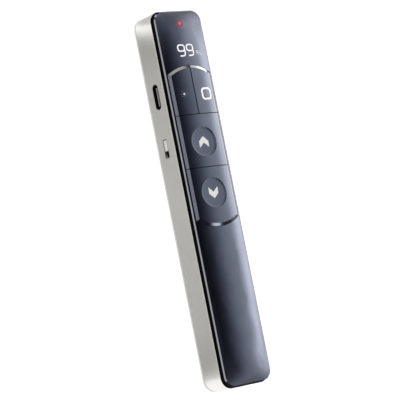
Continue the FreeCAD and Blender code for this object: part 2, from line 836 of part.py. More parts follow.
# Cutter for a thumb dish: the lowest part of a large ball, with an upright wall round it
def make_dish(label, y):
    rim = button_crest - s.dish_rim_drop
    floor = button_crest - s.dish_depth
    hollow_rise = rim - floor
    curve = (s.dish_radius * s.dish_radius + hollow_rise * hollow_rise) / (hollow_rise * 2)
    ball = doc.addObject("Part::Sphere", label + "_dish_ball")
    bind(ball, "Radius", curve)
    # the ball's poles lie to the sides, so that its lowest part is a plain patch
    ball.Placement.Rotation = FreeCAD.Rotation(FreeCAD.Vector(1, 0, 0), 90)
    place(ball, ZERO, y, floor + curve)
    depth = s.dish_depth + s.overrun * 2
    wall = cylinder(label + "_dish_wall", s.dish_radius, depth, ZERO, y, floor - s.overrun)
    dish = doc.addObject("Part::Common", label + "_dish")
    dish.Base = ball
    dish.Tool = wall
    return dish


def make_buttons():
    gap = s.row_gap_width / 2
    left = (-cluster_half, -s.pair_gap_width / 2)
    right = (s.pair_gap_width / 2, cluster_half)
    full = (-cluster_half, cluster_half)
    pair_y = (pair_gap + gap, cluster_top)
    up_y = (rocker_gap + gap, pair_gap - gap)
    down_y = (cluster_end, rocker_gap - gap)
    top_centre = cluster_top - arch_radius
    end_centre = cluster_end + arch_radius
    switch_y = (pair_y[0] + cluster_top - s.arch_rise) / 2
    up_dish = nose - s.up_dish_from_nose
    down_dish = nose - s.down_dish_from_nose
    make_button("laser_button", left, pair_y, top_centre, (-s.pair_switch_x, switch_y), (-1,), None)
    make_button("mode_button", right, pair_y, top_centre, (s.pair_switch_x, switch_y), (1,), None)
    make_button("up_button", full, up_y, None, (ZERO, up_dish), (-1, 1), up_dish)
    make_button("down_button", full, down_y, end_centre, (ZERO, down_dish), (-1, 1), down_dish)
    return [
        ("laser", -s.pair_switch_x, switch_y),
        ("mode", s.pair_switch_x, switch_y),
        ("up", ZERO, up_dish),
        ("down", ZERO, down_dish),
    ]


# Press switches: a square housing with a square bore, and a plunger that the button's post pushes
def make_press_switches(places):
    half = s.switch_side / 2
    for name, x, y in places:
        housing_z = (board_top, switch_top)
        housing = box(name + "_housing_block", (x - half, x + half), (y - half, y + half), housing_z)
        plunger_low = switch_top - s.plunger_sink
        bore_z = (plunger_low - s.press_travel - s.plunger_gap, switch_top + s.overrun)
        reach = s.plunger_side / 2
        loose = reach + s.plunger_gap
        bore = box(name + "_bore", (x - loose, x + loose), (y - loose, y + loose), bore_z)
        keep(cut(name + "_switch_body", housing, [bore]))
        plunger = box(name + "_switch_plunger", (x - reach, x + reach), (y - reach, y + reach),
                      (plunger_low, plunger_top))
        plunger.Label = name + "_switch_plunger"
        keep(plunger)


# Circuit board with screw holes, and the flat packages soldered to it
def make_board():
    half = inner_half - s.board_side_gap
    board_y = (board_end, nose - s.board_from_nose)
    blank = box("board_blank", (-half, half), board_y, (board_low, board_top))
    holes = []
    for number, (x, y) in enumerate(board_screws):
        radius = s.screw_radius + s.screw_gap * 2
        depth = s.board_thickness + s.overrun * 2
        holes.append(cylinder("board_hole_%d" % number, radius, depth, x, y, board_low - s.overrun))
    keep(cut("main_board", blank, holes))

    chip_y = nose - s.chip_from_nose
    antenna_y = nose - s.antenna_from_nose
    packages = [
        ("controller_chip", -s.chip_x, chip_y, s.chip_side, s.chip_side, s.chip_height),
        ("radio_chip", s.chip_x, chip_y, s.radio_side, s.radio_side, s.radio_height),
        ("timing_crystal", s.crystal_x, chip_y, s.crystal_width, s.crystal_length, s.crystal_height),
        ("antenna", ZERO, antenna_y, s.antenna_length, s.antenna_width, s.antenna_height),
    ]
    for name, x, y, width, length, height in packages:
        z = (board_top, board_top + height)
        block = box(name, (x - width / 2, x + width / 2), (y - length / 2, y + length / 2), z)
        block.Label = name
        keep(block)


# Segment display with two digit windows, the indicator and its light pipe
def make_display():
    y = nose - s.display_from_nose
    top = band_top + s.panel_core_depth - s.display_gap
    x_span = (-s.display_width / 2 + s.display_gap * 2, s.display_width / 2 - s.display_gap * 2)
    y_span = (y - s.display_length / 2, y + s.display_length / 2)
    block = box("display_block", x_span, y_span, (board_top, top))
    wells = []
    for side in (-1, 1):
        middle = s.digit_pitch / 2 * side
        x = (middle - s.digit_width / 2, middle + s.digit_width / 2)
        span = (y - s.digit_length / 2, y + s.digit_length / 2)
        wells.append(box("digit_window_%d" % (side + 1), x, span, (top - s.digit_depth, top + s.overrun)))
    keep(cut("display_module", block, wells))

    led_y = nose - s.led_from_nose
    led = box("indicator_led", (-s.led_width / 2, s.led_width / 2),
              (led_y - s.led_length / 2, led_y + s.led_length / 2), (board_top, board_top + s.led_height))
    led.Label = "indicator_led"
    keep(led)
    pipe_low = board_top + s.led_height + s.lens_gap
    pipe_top = panel_crest - s.lens_sink
    pipe = cylinder("light_pipe", s.lens_radius, pipe_top - pipe_low, ZERO, led_y, pipe_low)
    flange = cylinder("light_pipe_flange", s.lens_flange_radius, s.lens_flange_height, ZERO, led_y,
                      band_top - s.lens_flange_height)
    keep(joined("indicator_lens", [pipe, flange]))


# Charging socket: a drawn metal shell with rounded corners, and its insulator with the tongue
def make_port():
    body = new_body("usb_socket_shell")
    y = nose - s.port_from_nose
    z = board_low - s.port_height / 2
    front = -half_width + s.port_recess
    span = (y - s.port_length / 2, y + s.port_length / 2)
    lift = (z - s.port_height / 2, z + s.port_height / 2)
    outer = new_sketch(body, "outer", "YZ_Plane", front)
    draw_rounded(outer, span, lift, s.port_corner)
    pad(body, outer, s.port_depth)
    inner_span = (span[0] + s.port_sheet, span[1] - s.port_sheet)
    inner_lift = (lift[0] + s.port_sheet, lift[1] - s.port_sheet)
    inner = new_sketch(body, "inner", "YZ_Plane", front + s.port_depth + s.overrun)
    draw_rounded(inner, inner_span, inner_lift, s.port_corner - s.port_sheet)
    pocket(body, inner, s.port_depth + s.overrun * 2)
    keep(body)

    back = front + s.port_depth
    base = box("port_base", (back - s.port_base_length, back),
               (y - s.port_base_width / 2, y + s.port_base_width / 2), inner_lift)
    tongue_x = (back - s.port_base_length - s.tongue_length, back - s.port_base_length)
    tongue = box("port_tongue", tongue_x, (y - s.tongue_width / 2, y + s.tongue_width / 2),
                 (z - s.tongue_thickness / 2, z + s.tongue_thickness / 2))
    keep(joined("usb_socket_tongue", [base, tongue]))


# Power switch: a body under the board, and a ribbed knob whose stem reaches into it
def make_power_switch():
    slot_y = nose - s.power_from_nose
    slot_low = slot_y - s.power_slot_length / 2
    slot_high = slot_y + s.power_slot_length / 2
    knob_length = s.power_slot_length - s.power_travel - s.power_end_gap * 2
    knob_y = (slot_high - s.power_end_gap - knob_length, slot_high - s.power_end_gap)
    knob_half = s.power_slot_height / 2 - s.power_side_gap
    knob_z = (power_height - knob_half, power_height + knob_half)
    knob_front = -half_width + s.knob_sink
    knob_x = (knob_front + s.knob_rib_depth, knob_front + s.knob_depth)
    pieces = [box("knob_block", knob_x, knob_y, knob_z)]
    for share in (-1, 1):
        middle = power_height + knob_half * share / 2
        rib_z = (middle - s.knob_rib / 2, middle + s.knob_rib / 2)
        pieces.append(box("knob_rib_%d" % (share + 1), (knob_front, knob_x[0]), knob_y, rib_z))
    knob_middle = (knob_y[0] + knob_y[1]) / 2
    stem_y = (knob_middle - s.stem_length / 2, knob_middle + s.stem_length / 2)
    stem_z = (power_height - s.stem_height / 2, power_height + s.stem_height / 2)
    body_front = -inner_half + s.power_body_gap
    stem_end = body_front + s.stem_reach
    pieces.append(box("knob_stem", (knob_x[1], stem_end), stem_y, stem_z))
    keep(joined("power_switch_knob", pieces))

    body_y = (slot_low + slot_high) / 2
    body_z = (power_height * 2 - board_low, board_low)
    body_span = (body_y - s.power_body_length / 2, body_y + s.power_body_length / 2)
    block = box("power_block", (body_front, body_front + s.power_body_depth), body_span, body_z)
    track_y = (stem_y[0] - s.power_travel - s.power_side_gap, stem_y[1] + s.power_side_gap)
    track_z = (stem_z[0] - s.power_side_gap, stem_z[1] + s.power_side_gap)
    track = box("power_track", (body_front - s.overrun, stem_end + s.power_side_gap), track_y, track_z)
    keep(cut("power_switch_body", block, [track]))


# Laser module: a tube with a collimating lens, a driver board behind it and a window in the nose
def make_laser():
    front = nose - s.wall - s.barrel_nose_gap
    back = front - s.barrel_length
    tube = cylinder("barrel_tube", s.barrel_radius, s.barrel_length, ZERO, back, laser_height, "y")
    bore_radius = s.barrel_radius - s.barrel_wall
    bore_back = back + s.barrel_wall
    bore = cylinder("barrel_bore", bore_radius, s.barrel_length, ZERO, bore_back, laser_height, "y")
    keep(cut("laser_barrel", tube, [bore]))
    lens_back = front - s.collimator_from_front - s.collimator_length
    lens = cylinder("laser_lens", bore_radius - s.barrel_gap, s.collimator_length, ZERO, lens_back,
                    laser_height, "y")
    lens.Label = "laser_lens"
    keep(lens)
    window = cylinder("laser_window", s.window_radius, s.wall, ZERO, nose - s.wall - s.window_gap,
                      laser_height, "y")
    window.Label = "laser_window"
    keep(window)
    driver_x = (-s.driver_width / 2, s.driver_width / 2)
    driver_z = (laser_height - s.driver_height / 2, laser_height + s.driver_height / 2)
    driver = box("laser_driver_board", driver_x, (back - s.driver_thickness, back), driver_z)
    driver.Label = "laser_driver_board"
    keep(driver)
    pins = []
    for side in (-1, 1):
        name = "lead_%d" % (side + 1)
        x = s.lead_pitch / 2 * side
        y = back - s.driver_thickness / 2
        half = s.lead_side / 2
        pins.append(box(name, (x - half, x + half), (y - half, y + half), (driver_z[1], board_low)))
    keep(joined("laser_leads", pins))


# Battery: a soft-cornered cell taped to the floor under the board, with two bent tabs up to the board
def make_battery():
    body = new_body("battery")
    low = s.wall + s.pad_height
    top = board_low - s.battery_top_gap
    right = inner_half - s.battery_side_gap
    left = right - s.battery_width
    back = nose - s.middle_screw_from_nose + s.boss_radius + s.battery_gap
    front = back + s.battery_length
    plan = new_sketch(body, "plan", "XY_Plane", low)
    draw_rectangle(plan, (left, right), (back, front))
    pad(body, plan, top - low)
    rounded(body, "long_edges", s.battery_round, (left, right), (back, front), (low, top), "y")
    keep(body)
    tape = box("battery_pad", (left + s.pad_inset, right - s.pad_inset),
               (back + s.pad_inset, front - s.pad_inset), (s.wall, low))
    tape.Label = "battery_pad"
    keep(tape)
    strips = []
    for side in (-1, 1):
        middle = (left + right) / 2 + s.cell_tab_pitch / 2 * side
        x = (middle - s.cell_tab_width / 2, middle + s.cell_tab_width / 2)
        upright_y = (front, front + s.cell_tab_height)
        upright = box("cell_tab_rise_%d" % (side + 1), x, upright_y, ((low + top) / 2, board_low))
        foot_z = (board_low - s.cell_tab_height, board_low)
        foot = box("cell_tab_foot_%d" % (side + 1), x, (upright_y[1], upright_y[1] + s.cell_tab_lap), foot_z)
        strips.append(joined("cell_tab_%d" % (side + 1), [upright, foot]))
    keep(joined("battery_tabs", strips))


# Screws: round shanks under flat heads, one solid each
def make_screws():
    screws = []
    for number, (x, y) in enumerate(board_screws + [tail_screw]):
        name = "screw_%d" % number
        shank = cylinder(name + "_shank", s.screw_radius, s.screw_length, x, y, ring_floor - s.screw_length)
        head = cylinder(name + "_head", s.screw_head_radius, s.screw_head_height, x, y, ring_floor)
        screws.append(joined(name, [shank, head]))
    keep(joined("casing_screws", screws))


# Receiver: a plug stored in a bay in the tail, and the magnet that holds it there
def make_receiver():
    z = receiver_centre
    cap_y = (tail + s.receiver_sink, tail + s.receiver_sink + s.receiver_length)
    cap_x = (-receiver_width / 2, receiver_width / 2)
    cap_z = (z - s.receiver_height / 2, z + s.receiver_height / 2)
    body = new_body("receiver_body")
    cap = new_sketch(body, "cap", "XZ_Plane", -cap_y[0])
    draw_rounded(cap, cap_x, cap_z, s.receiver_corner)
    pad(body, cap, s.receiver_length, reverse=True)
    grips = new_sketch(body, "grips", "XY_Plane", cap_z[1] + s.overrun)
    grip_start = cap_y[0] + s.receiver_grip_length
    draw_rectangle(grips, (cap_x[0] + s.receiver_corner, cap_x[1] - s.receiver_corner),
                   (grip_start, grip_start + s.receiver_grip_length))
    pocket(body, grips, s.overrun + s.receiver_grip_depth)
    keep(body)

    plug_y = (cap_y[1], cap_y[1] + s.plug_length)
    plug_x = (-s.plug_width / 2, s.plug_width / 2)
    plug_z = (z - s.plug_height / 2, z + s.plug_height / 2)
    outer = box("plug_outer", plug_x, plug_y, plug_z)
    inner_x = (plug_x[0] + s.plug_sheet, plug_x[1] - s.plug_sheet)
    inner_y = (plug_y[0] - s.overrun, plug_y[1] + s.overrun)
    inner_z = (plug_z[0] + s.plug_sheet, plug_z[1] - s.plug_sheet)
    keep(cut("receiver_plug", outer, [box("plug_inner", inner_x, inner_y, inner_z)]))
    blade_z = (inner_z[0], inner_z[0] + s.plug_tongue_height)
    blade = box("receiver_tongue", inner_x, (plug_y[0], plug_y[1] - s.plug_tongue_gap), blade_z)
    blade.Label = "receiver_tongue"
    keep(blade)

    hollow_half = receiver_width / 2 + s.receiver_gap
    hollow_rise = s.receiver_height / 2 + s.receiver_gap
    bay_y = (tail + s.corner_radius, bay_front + s.bay_wall)
    shell = box("bay_shell", (-bay_half, bay_half), bay_y, (s.wall, z + hollow_rise + s.bay_wall))
    hollow = box("bay_hollow", (-hollow_half, hollow_half), (bay_y[0] - s.overrun, bay_front),
                 (z - hollow_rise, z + hollow_rise))
    keep(cut("receiver_bay", shell, [hollow]))
    magnet_x = (-s.magnet_width / 2, s.magnet_width / 2)
    magnet_z = (z - s.magnet_height / 2, z + s.magnet_height / 2)
    magnet = box("bay_magnet", magnet_x, (bay_y[1], bay_y[1] + s.magnet_thickness), magnet_z)
    magnet.Label = "bay_magnet"
    keep(magnet)


make_rear_shell()
make_mid_frame()
make_front_panel()
make_press_switches(make_buttons())
make_board()
make_display()
make_port()
make_power_switch()
make_laser()
make_battery()
make_screws()
make_receiver()
doc.recompute()

# Every object must have computed, and every piece must be a sound solid, before anything is written
failed = [item.Name for item in doc.Objects if "Invalid" in item.State or "Error" in item.State]
unsound = [
    item.Label for item in nodes
    if item.Shape.isNull() or not item.Shape.isValid() or not item.Shape.Solids
]
if failed or unsound:
    raise SystemExit("failed objects: %s, unsound pieces: %s" % (failed, unsound))

os.makedirs("parts", exist_ok=True)
for item in nodes:
    item.Shape.exportStep("parts/%s.step" % item.Label)
    bounds = item.Shape.BoundBox
    print("%-22s solids %d  volume %9.2f  x %7.2f %7.2f  y %7.2f %7.2f  z %6.2f %6.2f" % (
        item.Label, len(item.Shape.Solids), item.Shape.Volume,
        bounds.XMin, bounds.XMax, bounds.YMin, bounds.YMax, bounds.ZMin, bounds.ZMax))
print(len(nodes), "pieces")
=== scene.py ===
# %% [markdown]
# # A wireless presentation clicker
#
# This lesson dresses the parts of a slim hand-held clicker: a silver rear shell, a black band, a dark
# gloss face with four press buttons, a two-digit display, a red indicator, a charging port and a small
# power switch in its side. The solids come from a fixed frame in real size. Here they get their
# finishes, and the printed signs that lie on the face are modelled on top of them.

# %% Load the frame
import json
import math

import bmesh
import bpy
from mathutils import Matrix, Vector
from mathutils.bvhtree import BVHTree


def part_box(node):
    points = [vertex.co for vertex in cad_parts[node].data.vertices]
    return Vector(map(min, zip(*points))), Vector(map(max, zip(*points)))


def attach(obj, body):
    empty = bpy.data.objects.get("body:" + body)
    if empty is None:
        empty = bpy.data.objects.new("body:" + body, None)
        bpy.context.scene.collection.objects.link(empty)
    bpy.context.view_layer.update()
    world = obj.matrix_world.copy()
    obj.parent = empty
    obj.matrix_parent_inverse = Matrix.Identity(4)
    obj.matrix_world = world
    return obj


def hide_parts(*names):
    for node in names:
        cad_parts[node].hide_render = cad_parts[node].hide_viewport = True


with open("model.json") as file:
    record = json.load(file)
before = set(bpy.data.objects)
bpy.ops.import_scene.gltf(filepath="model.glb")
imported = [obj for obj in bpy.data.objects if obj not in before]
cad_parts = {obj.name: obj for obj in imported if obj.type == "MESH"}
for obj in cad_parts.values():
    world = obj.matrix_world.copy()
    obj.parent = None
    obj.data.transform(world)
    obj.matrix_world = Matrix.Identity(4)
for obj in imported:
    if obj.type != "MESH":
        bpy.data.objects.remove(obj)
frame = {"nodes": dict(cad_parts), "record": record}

MM = 0.001
nodes = frame["nodes"]
bpy.context.view_layer.update()
print("solids in the frame:", len(nodes))

# %% [markdown]
# ## Camera
#
# The clicker lies on its back and is seen from its port side, from well above, with a long lens, so
# that its long edges stay nearly parallel. The camera looks at a point on the face's middle line. It
# is set from two angles, a distance and a roll, because those can be read off a picture and changed
# one at a time, where a raw rotation matrix can't.

# %% Camera
VIEW_AZIMUTH = -81.203
VIEW_ELEVATION = 53.469
VIEW_ROLL = 71.714
VIEW_DISTANCE = 611.6 * MM
VIEW_TARGET = Vector((-4.017, -0.814, 10.0)) * MM
LENS_MM = 155.52
SENSOR_MM = 36.0


def direction(azimuth, elevation):
    """Unit vector towards an azimuth, from -Y round by +X, and an elevation, in degrees."""
    turn, lift = math.radians(azimuth), math.radians(elevation)
    return Vector((math.sin(turn) * math.cos(lift), -math.cos(turn) * math.cos(lift), math.sin(lift)))


backwards = direction(VIEW_AZIMUTH, VIEW_ELEVATION)
level = backwards.to_track_quat("Z", "Y").to_matrix()
rolled = level @ Matrix.Rotation(math.radians(VIEW_ROLL), 3, "Z")
camera_data = bpy.data.cameras.new("camera")
camera_data.lens = LENS_MM
camera_data.sensor_width = SENSOR_MM
camera_data.clip_start = 0.05
camera = bpy.data.objects.new("camera", camera_data)
camera.matrix_world = Matrix.Translation(VIEW_TARGET + backwards * VIEW_DISTANCE) @ rolled.to_4x4()
bpy.context.scene.collection.objects.link(camera)
bpy.context.scene.camera = camera
print("camera at, mm:", [round(value / MM, 1) for value in camera.location])

# %% [markdown]
# ## Colours and nodes
#
# Every colour below is written as the hex value that a paint shop or a screen would show, and one
# function turns it into the linear numbers that a shader works with. Another adds one shader node with
# its settings and its links, so that a material reads as a short list of what it is made of.

# %% Colour and node helpers


def linear(code, alpha=1.0):
    """Linear colour from an sRGB hex code."""
    shares = [int(code[place:place + 2], 16) / 255 for place in (1, 3, 5)]
    return tuple(v / 12.92 if v <= 0.04045 else ((v + 0.055) / 1.055) ** 2.4 for v in shares) + (alpha,)


def add(tree, kind, settings=None, links=None):
    """Adds one node. Settings go to its properties or else its inputs, and links to its inputs."""
    node = tree.nodes.new(kind)
    for name, value in (settings or {}).items():
        if isinstance(name, str) and hasattr(node, name):
            setattr(node, name, value)
        else:
            node.inputs[name].default_value = value
    for name, source in (links or {}).items():
        tree.links.new(source, node.inputs[name])
    return node


def new_material(name):
    """An empty material, and its node tree."""
    material = bpy.data.materials.new(name)
    material.use_nodes = True
    material.node_tree.nodes.clear()
    return material, material.node_tree


def ramp(tree, factor, stops, interpolation="LINEAR"):
    """A colour ramp through stops of place and colour."""
    node = add(tree, "ShaderNodeValToRGB", None, {"Fac": factor})
    node.color_ramp.interpolation = interpolation
    elements = node.color_ramp.elements
    while len(elements) < len(stops):
        elements.new(0.5)
    for element, (place, colour) in zip(elements, stops):
        element.position = place
        element.color = colour
    return node


def plan_reach(tree, place, centre):
    """Distance from an upright axis through a centre."""
    away = add(tree, "ShaderNodeVectorMath", {"operation": "SUBTRACT", 1: centre},
               {0: place.outputs["Object"]})
    flat = add(tree, "ShaderNodeVectorMath", {"operation": "MULTIPLY", 1: (1, 1, 0)}, {0: away.outputs[0]})
    return add(tree, "ShaderNodeVectorMath", {"operation": "LENGTH"}, {0: flat.outputs[0]}).outputs["Value"]


def finish_surface(tree, shader):
    """Ends a material in its shader."""
    add(tree, "ShaderNodeOutputMaterial", None, {"Surface": shader.outputs[0]})


print("middle grey in linear numbers:", [round(share, 3) for share in linear("#808080")])

# %% [markdown]
# ## Light
#
# A glossy dark face shows the room more than its own colour. In the studio this one was lit by large
# soft panels that stood round it, under a dark ceiling: the left of the face mirrors the ceiling and
# stays almost black, and its right flank mirrors a panel and turns pale lavender. The world's
# background does this by itself. Each soft panel is a patch of the dome, given by its compass
# direction, its width and a list of heights with their glow. The large panel on the right takes five
# patches, because its glow falls off in another way towards the nose and the tail. Between the panels
# the dome is dim. Added up, the light is plain: a colour renders about as it is written.

# %% World
DOME = ((-90, 0.40), (-10, 0.40), (-3, 0.12), (12, 0.07), (42, 0.07), (52, 0.05), (60, 0.03), (70, 0.01),
        (90, 0.005))
SOFT_PANELS = {
    # name: compass direction, half width, soft edge in degrees, tint, then heights with their glow
    "right": (97, 20, 9, "#F6F9FF", (
        (-8, 0.0), (4, 0.3), (14, 0.7), (20, 1.4), (24, 2.1), (28, 2.35), (32, 2.05), (36, 1.02),
        (40, 0.42), (44, 0.13), (48, 0.0))),
    "right_wide": (89, 20, 22, "#F6F9FF", (
        (34, 0.0), (40, 0.27), (44, 0.51), (48, 0.56), (52, 0.44), (56, 0.26), (60, 0.12), (64, 0.04),
        (68, 0.0))),
    "right_nose": (118, 8, 10, "#FFFFFF", ((30, 0.0), (34, 0.5), (40, 0.5), (46, 0.2), (54, 0.0))),
    "right_high": (112, 10, 32, "#F6F9FF", (
        (44, 0.0), (48, 0.08), (52, 0.16), (56, 0.23), (60, 0.24), (64, 0.19), (68, 0.12), (72, 0.05),
        (76, 0.02), (80, 0.0))),
    "right_tail": (80, 5, 6, "#F6F9FF", (
        (28, 0.0), (33, 1.0), (38, 1.2), (41, 0.5), (45, 0.12), (50, 0.0))),
    "left": (-90, 34, 16, "#FFFBF2", (
        (-6, 0.0), (10, 1.2), (26, 1.4), (40, 1.4), (48, 1.0), (56, 0.90), (64, 0.76), (71, 0.2),
        (78, 0.0))),
    "nose_corner": (-168, 10, 8, "#FFFFFF", ((10, 0.0), (16, 1.9), (24, 1.9), (29, 0.0))),
    "nose": (166, 20, 6, "#FFF4E0", ((30, 0.0), (35, 1.6), (44, 1.6), (52, 0.2), (60, 0.0))),
    "nose_right": (125, 10, 4, "#FFFFFF", (
        (-9, 2.0), (-4, 5.0), (12, 5.0), (18, 2.0), (28, 1.6), (33, 0.0))),
    "tail": (38, 9, 5, "#FFFFFF", ((34, 0.0), (39, 2.4), (48, 2.4), (53, 0.0))),
}
GLOW_TOP = 5.2
CEILING_TINT = "#DCE6FF"
TINT_SHARES = (0.70, 0.90)


def glow_stops(heights):
    """Ramp stops from heights in degrees and their glow."""
    return [((angle + 90) / 180, (glow / GLOW_TOP,) * 3 + (1.0,)) for angle, glow in heights]


def build_world():
    world = bpy.data.worlds.new("studio_dome")
    bpy.context.scene.world = world
    world.use_nodes = True
    tree = world.node_tree
    tree.nodes.clear()
    place = add(tree, "ShaderNodeTexCoord")
    split = add(tree, "ShaderNodeSeparateXYZ", None, {0: place.outputs["Generated"]})
    height = add(tree, "ShaderNodeMath", {"operation": "ARCSINE"}, {0: split.outputs["Z"]})
    share = add(tree, "ShaderNodeMath", {"operation": "MULTIPLY_ADD", 1: 1 / math.pi, 2: 0.5},
                {0: height.outputs[0]})
    flat = add(tree, "ShaderNodeVectorMath", {"operation": "MULTIPLY", 1: (1, 1, 0)},
               {0: place.outputs["Generated"]})
    compass = add(tree, "ShaderNodeVectorMath", {"operation": "NORMALIZE"}, {0: flat.outputs[0]})
    total = ramp(tree, share.outputs[0], glow_stops(DOME)).outputs["Color"]
    for middle, half, soft, hue, heights in SOFT_PANELS.values():
        along = add(tree, "ShaderNodeVectorMath", {"operation": "DOT_PRODUCT", 1: direction(middle, 0)},
                    {0: compass.outputs[0]})
        within = add(tree, "ShaderNodeMapRange", {
            "interpolation_type": "SMOOTHSTEP", "From Min": math.cos(math.radians(half + soft)),
            "From Max": math.cos(math.radians(half))}, {"Value": along.outputs["Value"]})
        glow = ramp(tree, share.outputs[0], glow_stops(heights))
        light = add(tree, "ShaderNodeVectorMath", {"operation": "MULTIPLY", 1: linear(hue)[:3]},
                    {0: glow.outputs["Color"]})
        patch = add(tree, "ShaderNodeVectorMath", {"operation": "SCALE"},
                    {0: light.outputs[0], "Scale": within.outputs[0]})
        total = add(tree, "ShaderNodeVectorMath", {"operation": "ADD"},
                    {0: total, 1: patch.outputs[0]}).outputs[0]
    tint = ramp(tree, share.outputs[0], [
        (TINT_SHARES[0], linear("#FFFFFF")), (TINT_SHARES[1], linear(CEILING_TINT))])
    tinted = add(tree, "ShaderNodeMix", {"data_type": "RGBA", "blend_type": "MULTIPLY", 0: 1.0},
                 {6: total, 7: tint.outputs["Color"]})
    studio = add(tree, "ShaderNodeBackground", {"Strength": GLOW_TOP}, {"Color": tinted.outputs[2]})
    plain = add(tree, "ShaderNodeBackground", {"Color": linear("#FFFFFF"), "Strength": 1.0})
    ray = add(tree, "ShaderNodeLightPath")
    chosen = add(tree, "ShaderNodeMixShader", None, {
        0: ray.outputs["Is Camera Ray"], 1: studio.outputs[0], 2: plain.outputs[0]})
    add(tree, "ShaderNodeOutputWorld", None, {"Surface": chosen.outputs[0]})


bpy.context.scene.view_settings.view_transform = "Standard"
build_world()
print("soft panels:", len(SOFT_PANELS))

# %% [markdown]
# ## Floor
#
# The floor is a plain pale sheet. It is lit like everything else, and white is added where the camera
# looks at it, so that it comes out as white paper. Ambient occlusion takes that white away within a
# millimetre of the shell, which leaves a thin dark line where the two touch: a painted contact shade.
# Where only gloss sees it, the sheet glows past the clicker's ends and to its right: painted
# reflections, as if reflector cards lay there. One list says how that glow changes along the clicker,
# another how it changes out to the right, and the sheet takes the brighter of the two. These painted
# reflections are the bright patches on the upright corners of the shell and on its right wall. Seen by
# gloss, the sheet also turns dark far from the clicker, a painted shade for the floor out there.

# %% Floor
FLOOR_SIZE = 3.0
FLOOR_LIFT = 0.80
SHEET_END = 150 * MM
DARK_START = 185 * MM
REFLECTION_SPAN = 125 * MM
REFLECTION_TOP = 2.0
# The glow of the painted reflections that gloss sees on the sheet, by places in mm: along the clicker, and
# out to its right.
ALONG_GLOW = (
    (-105, 0.0), (-95, 0.3), (-82, 0.45), (-76, 1.1), (-66, 1.1), (-65, 1.0), (-64, 0.7), (-62, 0.32),
    (-60, 0.18), (-56, 0.17), (-45, 0.27), (0, 0.33), (45, 0.27), (57, 0.14), (60, 0.22), (62, 0.5),
    (64, 1.1), (66, 1.1), (69, 0.34), (90, 0.34), (105, 0.0))
RIGHT_GLOW = ((18, 0.1), (40, 0.4), (52, 1.15), (100, 1.15), (118, 0.0))
CONTACT = 0.8 * MM
CONTACT_DARK = 0.2
CONTACT_SHUT = 0.45
SHEET_WHITE, SHEET_DARK = "#EDEDED", "#101014"


def reflection_stops(places):
    """Ramp stops from places in mm and their glow."""
    return [((mm * MM / REFLECTION_SPAN + 1) / 2, (glow / REFLECTION_TOP,) * 3 + (1.0,)) for mm, glow in places]


def build_floor():
    sheet_mesh = bpy.data.meshes.new("floor")
    half = FLOOR_SIZE / 2
    sheet_mesh.from_pydata([(-half, -half, 0), (half, -half, 0), (half, half, 0), (-half, half, 0)],
                           [], [(0, 1, 2, 3)])
    floor = bpy.data.objects.new("floor", sheet_mesh)
    bpy.context.scene.collection.objects.link(floor)
    material, tree = new_material("paper_white")
    ray = add(tree, "ShaderNodeLightPath")
    place = add(tree, "ShaderNodeTexCoord")
    distance = add(tree, "ShaderNodeVectorMath", {"operation": "LENGTH"}, {0: place.outputs["Object"]})
    # Seen by gloss, the sheet turns dark past SHEET_END: a painted shade for the floor far off.
    past = add(tree, "ShaderNodeMapRange", {
        "interpolation_type": "SMOOTHSTEP", "From Min": SHEET_END, "From Max": DARK_START},
        {"Value": distance.outputs["Value"]})
    unlit = add(tree, "ShaderNodeMath", {"operation": "MULTIPLY"},
                {0: past.outputs[0], 1: ray.outputs["Is Glossy Ray"]})
    sheet = ramp(tree, unlit.outputs[0], [(0.0, linear(SHEET_WHITE)), (1.0, linear(SHEET_DARK))])
    paper = add(tree, "ShaderNodeBsdfDiffuse", None, {"Color": sheet.outputs["Color"]})
    seen = add(tree, "ShaderNodeMath", {"operation": "MAXIMUM"}, {
        0: ray.outputs["Is Camera Ray"], 1: ray.outputs["Is Transmission Ray"]})
    # Painted contact shade: ambient occlusion takes the white lift away next to the shell.
    contact = add(tree, "ShaderNodeAmbientOcclusion", {"Distance": CONTACT, "samples": 6})
    open_floor = add(tree, "ShaderNodeMapRange", {
        "From Min": CONTACT_SHUT, "From Max": 1.0, "To Min": CONTACT_DARK},
        {"Value": contact.outputs["AO"]})
    strength = add(tree, "ShaderNodeMath", {"operation": "MULTIPLY", 1: FLOOR_LIFT}, {0: seen.outputs[0]})
    split = add(tree, "ShaderNodeSeparateXYZ", None, {0: place.outputs["Object"]})
    reflection_glows = []
    for axis, places in (("Y", ALONG_GLOW), ("X", RIGHT_GLOW)):
        share = add(tree, "ShaderNodeMapRange", {"From Min": -REFLECTION_SPAN, "From Max": REFLECTION_SPAN},
                    {"Value": split.outputs[axis]})
        glow = ramp(tree, share.outputs[0], reflection_stops(places))
        reflection_glows.append(add(tree, "ShaderNodeMath", {"operation": "MULTIPLY", 1: REFLECTION_TOP},
                         {0: glow.outputs["Color"]}))
    # Painted reflections: the brighter of the two glows, seen by gloss only.
    painted_reflection = add(tree, "ShaderNodeMath", {"operation": "MAXIMUM"}, {
        0: reflection_glows[0].outputs[0], 1: reflection_glows[1].outputs[0]})
    gloss = add(tree, "ShaderNodeMath", {"operation": "MULTIPLY"},
                {0: painted_reflection.outputs[0], 1: ray.outputs["Is Glossy Ray"]})
    full = add(tree, "ShaderNodeMath", {"operation": "ADD"}, {0: strength.outputs[0], 1: gloss.outputs[0]})
    shaded = add(tree, "ShaderNodeMath", {"operation": "MULTIPLY"}, {
        0: full.outputs[0], 1: open_floor.outputs[0]})
    lift = add(tree, "ShaderNodeEmission", None, {"Strength": shaded.outputs[0]})
    both = add(tree, "ShaderNodeAddShader", None, {0: paper.outputs[0], 1: lift.outputs[0]})
    finish_surface(tree, both)
    sheet_mesh.materials.append(material)
    return floor


print("floor side in m:", round(build_floor().dimensions.x, 2))
